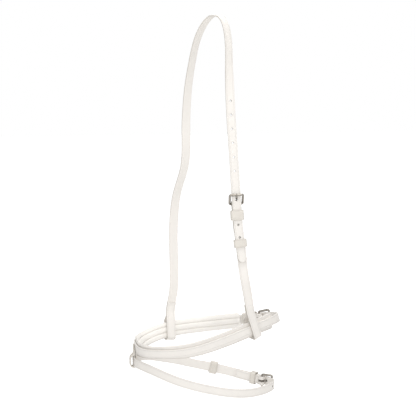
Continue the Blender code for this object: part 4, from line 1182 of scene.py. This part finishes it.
def build_base():
    start, end = NOSE_START + PAD_FROM, PAD_END
    back = PANEL_BACK + GAP
    count = int((end - start) / (0.8 * MM))
    rings = []
    for i in range(count + 1):
        s = start + (end - start) * i / count
        p, _, w, n = NOSE.here(s)
        prof = lining_section(0.5 - 0.5 * math.cos(2 * math.pi * (s - start - SEAM_IN) / STITCH))
        fade = max(0.02, min(1.0, (s - start) / PAD_FADE, (end - s) / PAD_FADE))
        out = back + (prof[:, 1:2] - back) * (0.22 + 0.78 * math.sqrt(1.0 - (1.0 - fade) ** 2))
        rings.append(p + end_share(s) * prof[:, :1] * w - out * n)
    tags = np.zeros((count + 1, len(prof), len(TAGS)))
    # The groove share paints shade along the lining's sewn grooves.
    tags[:, :, GROOVE] = prof[:, 2]
    mesh = skin("noseband_lining_soft", np.array(rings), tags)
    obj = show("noseband_lining_soft", mesh, "noseband", LINING, ["noseband_lining", "noseband_padding"],
               smooth=60.0)

    off = STRAP_T / 2 + TWIST_GAP + PANEL_T / 2
    inset = (0.0, 1.2 * MM, PAD_END_RUN)
    places = [start + run for run in inset] + [end - run for run in reversed(inset)]
    line = lay(NOSE, [(s, -off) for s in places], step=LONG_STEP)
    width = LINING_H * end_share(line["flat"][:, 0])
    mesh = strap("noseband_panel_leather", line, width, PANEL_T, groove=0.0)
    # Painted light and shade: the panel's upper edge stays light, its lower edge and the margin below the
    # strap get painted shadow.
    scale_edge_shade(mesh, 0.05, 1.0)
    paint_shade(mesh, lambda s, x: x < -0.5 * LINING_H * end_share(s + start) + 0.9 * MM, 0.9)
    show("noseband_panel_leather", mesh, "noseband", LEATHER, ["noseband_panel"])


# The lower strap and the loop that carries it.

def build_lower():
    keeper = (LOWER_KEEPER_AT, LOWER_KEEPER_L)
    seams = build_loop("lower", LOWER, LOWER_START, (LOWER_CHAPE, LOWER_BILLET), keeper, LOWER_RUNNER_AT,
                       (-2, -1, 3), (0.15, 0.6))
    seams += chape_seams(LOWER, LOWER_START, 7.0 * MM, keeper, LOWER_CHAPE, -LAYER - STRAP_T / 2)
    stitched("lower_thread", seams, "lower")


def build_flash_loop():
    p, t, w, n = NOSE.here(NOSE_FRONT)
    hung = LOWER.here(LOWER_FRONT)[0] - p
    out = square(n, UP)
    side = np.cross(out, UP)
    if side @ t < 0:
        side = -side

    def on_band(away, height):
        v = away * n + height * w
        return (float(v @ out), float(v @ UP))

    # The loop's middle line in the upright plane of out, from its top on the band to its end behind it.
    cx, cz = float(hung @ out), float(hung @ UP)
    room = STRAP_T / 2 + FLASH_CLEAR + FLASH_T / 2
    inside = min(cx - room, on_band(-STRAP_T / 2 - TWIST_GAP, -NOSE_W / 2)[0] + GAP + FLASH_T / 2)
    outside = cx + room + FLASH_BULGE
    floor = cz - STRAP_W / 2 - FLASH_CLEAR + 0.4 * MM - FLASH_T / 2
    end = on_band(-STRAP_T / 2, -NOSE_W / 2 - GAP)[1] - 0.4 * MM
    band_off = STRAP_T / 2 + THREAD_R + GAP + FLASH_T / 2
    flat = rounded([on_band(band_off, NOSE_W / 2 - 2.5 * MM), (*on_band(band_off, -NOSE_W / 2), 3.0 * MM),
                    (outside, cz + STRAP_W / 2, 6.0 * MM), (outside, floor, 4.6 * MM),
                    (inside, floor, 2.4 * MM), (inside, end)])
    points = np.array([p + a * out + b * UP for a, b in fill_line(flat, 1.6 * MM)])
    run = distances(points)
    ahead = unit(np.gradient(points, run, axis=0))
    face = np.cross(side, ahead)
    face = face if face[0] @ n > 0 else -face
    thick = FLASH_T * np.interp(run, [0.0, 7.0 * MM], [0.45, 1.0])
    points = points - 0.5 * (FLASH_T - thick)[:, None] * face
    line = {"p": points, "t": ahead, "w": [side] * len(points), "n": np.cross(side, ahead), "run": run}
    mesh = strap("flash_loop_leather", line, FLASH_W, thick, groove_in=FLASH_IN, groove=0.1 * MM,
                 edge=0.4 * MM)
    # The cut colour's painted shade is weakened here, so the loop's raw edges look pale.
    scale_edge_shade(mesh, 0.12, 0.12)
    show("flash_loop_leather", mesh, "noseband", SHADED_KEEPER_LEATHER, ["flash_loop"])

    outer = points + 0.5 * thick[:, None] * face
    sewn = np.flatnonzero(run < NOSE_W - 3.0 * MM)
    aside = FLASH_W / 2 - 1.6 * MM
    seams = [[(outer[i] + a * side, face[i]) for i in sewn] for a in (-aside, aside)]
    seams += [[(outer[i] + a * side, face[i]) for a in np.linspace(-2.8 * MM, 2.8 * MM, 5)]
              for i in (1, sewn[-1])]
    stitched("flash_loop_thread", seams, "noseband")


# Stage.

def seen_rays(tree):
    """1 for rays that show a surface itself: from the camera, in a reflection or through glass."""
    path = add(tree, "LightPath").outputs
    seen = math_node(tree, "MAXIMUM", path["Is Camera Ray"], path["Is Glossy Ray"])
    return math_node(tree, "MAXIMUM", seen, path["Is Transmission Ray"])


def pale_floor():
    """A matt floor that looks white where no shadow falls on it."""
    mat, tree, shader = look_of("pale_floor")
    tree.nodes.remove(shader)
    matt = add(tree, "BsdfDiffuse", {"Color": (0.9, 0.9, 0.9)}).outputs[0]
    strength = math_node(tree, "MULTIPLY", seen_rays(tree), FLOOR_GLOW)
    glow = add(tree, "Emission", {"Color": (1.0, 1.0, 1.0), "Strength": strength}).outputs[0]
    both = add(tree, "AddShader", {0: matt, 1: glow}).outputs[0]
    feed(tree, tree.nodes["Material Output"], {"Surface": both})
    return mat


def build_stage():
    bpy.ops.mesh.primitive_plane_add(size=12.0, location=(0.0, 0.0, FLOOR_Z))
    floor = bpy.context.active_object
    floor.name = "floor"
    floor.data.materials.append(pale_floor())

    world = bpy.data.worlds.new("studio")
    bpy.context.scene.world = world
    world.use_nodes = True
    tree = world.node_tree
    level = math_node(tree, "MULTIPLY_ADD", seen_rays(tree), 1.0 - SKY, SKY)
    feed(tree, tree.nodes["Background"], {"Color": (1.0, 1.0, 1.0), "Strength": level})

    for name, (spot, size, power, aim) in LAMPS.items():
        data = bpy.data.lights.new(name, "AREA")
        data.size = size
        data.energy = power
        lamp = put(name, data)
        lamp.location = spot
        lamp.rotation_mode = "QUATERNION"
        lamp.rotation_quaternion = (Vector(aim) - Vector(spot)).to_track_quat("-Z", "Y")


def build_camera():
    """Looks a little down at the object, so that the crown's seat shows at its pixel."""
    level = math.cos(VIEW_HEIGHT)
    back = Vector((math.sin(VIEW) * level, -math.cos(VIEW) * level, math.sin(VIEW_HEIGHT)))
    right = Vector((math.cos(VIEW), math.sin(VIEW), 0.0))
    up = back.cross(right)
    deep = Vector((-math.sin(VIEW), math.cos(VIEW), 0.0))
    eye = back * VIEW_FAR
    column, row = ((pixel - PHOTO / 2) * PIXEL for pixel in SEAT_PIXEL)
    ray = right * column - up * row - eye
    target = -(eye + ray * (-eye.dot(deep) / ray.dot(deep)))
    data = bpy.data.cameras.new("camera")
    data.sensor_width = 36.0
    data.lens = data.sensor_width / (PHOTO * PIXEL) * VIEW_FAR
    camera = put("camera", data)
    pose = Matrix((right, up, back)).transposed().to_4x4()
    pose.translation = target + eye
    camera.matrix_world = pose
    bpy.context.scene.camera = camera


build_camera()
build_sliphead()
build_noseband()
build_base()
build_lower()
build_flash_loop()
build_stage()
bpy.context.scene.view_settings.view_transform = "Standard"

bpy.context.view_layer.update()
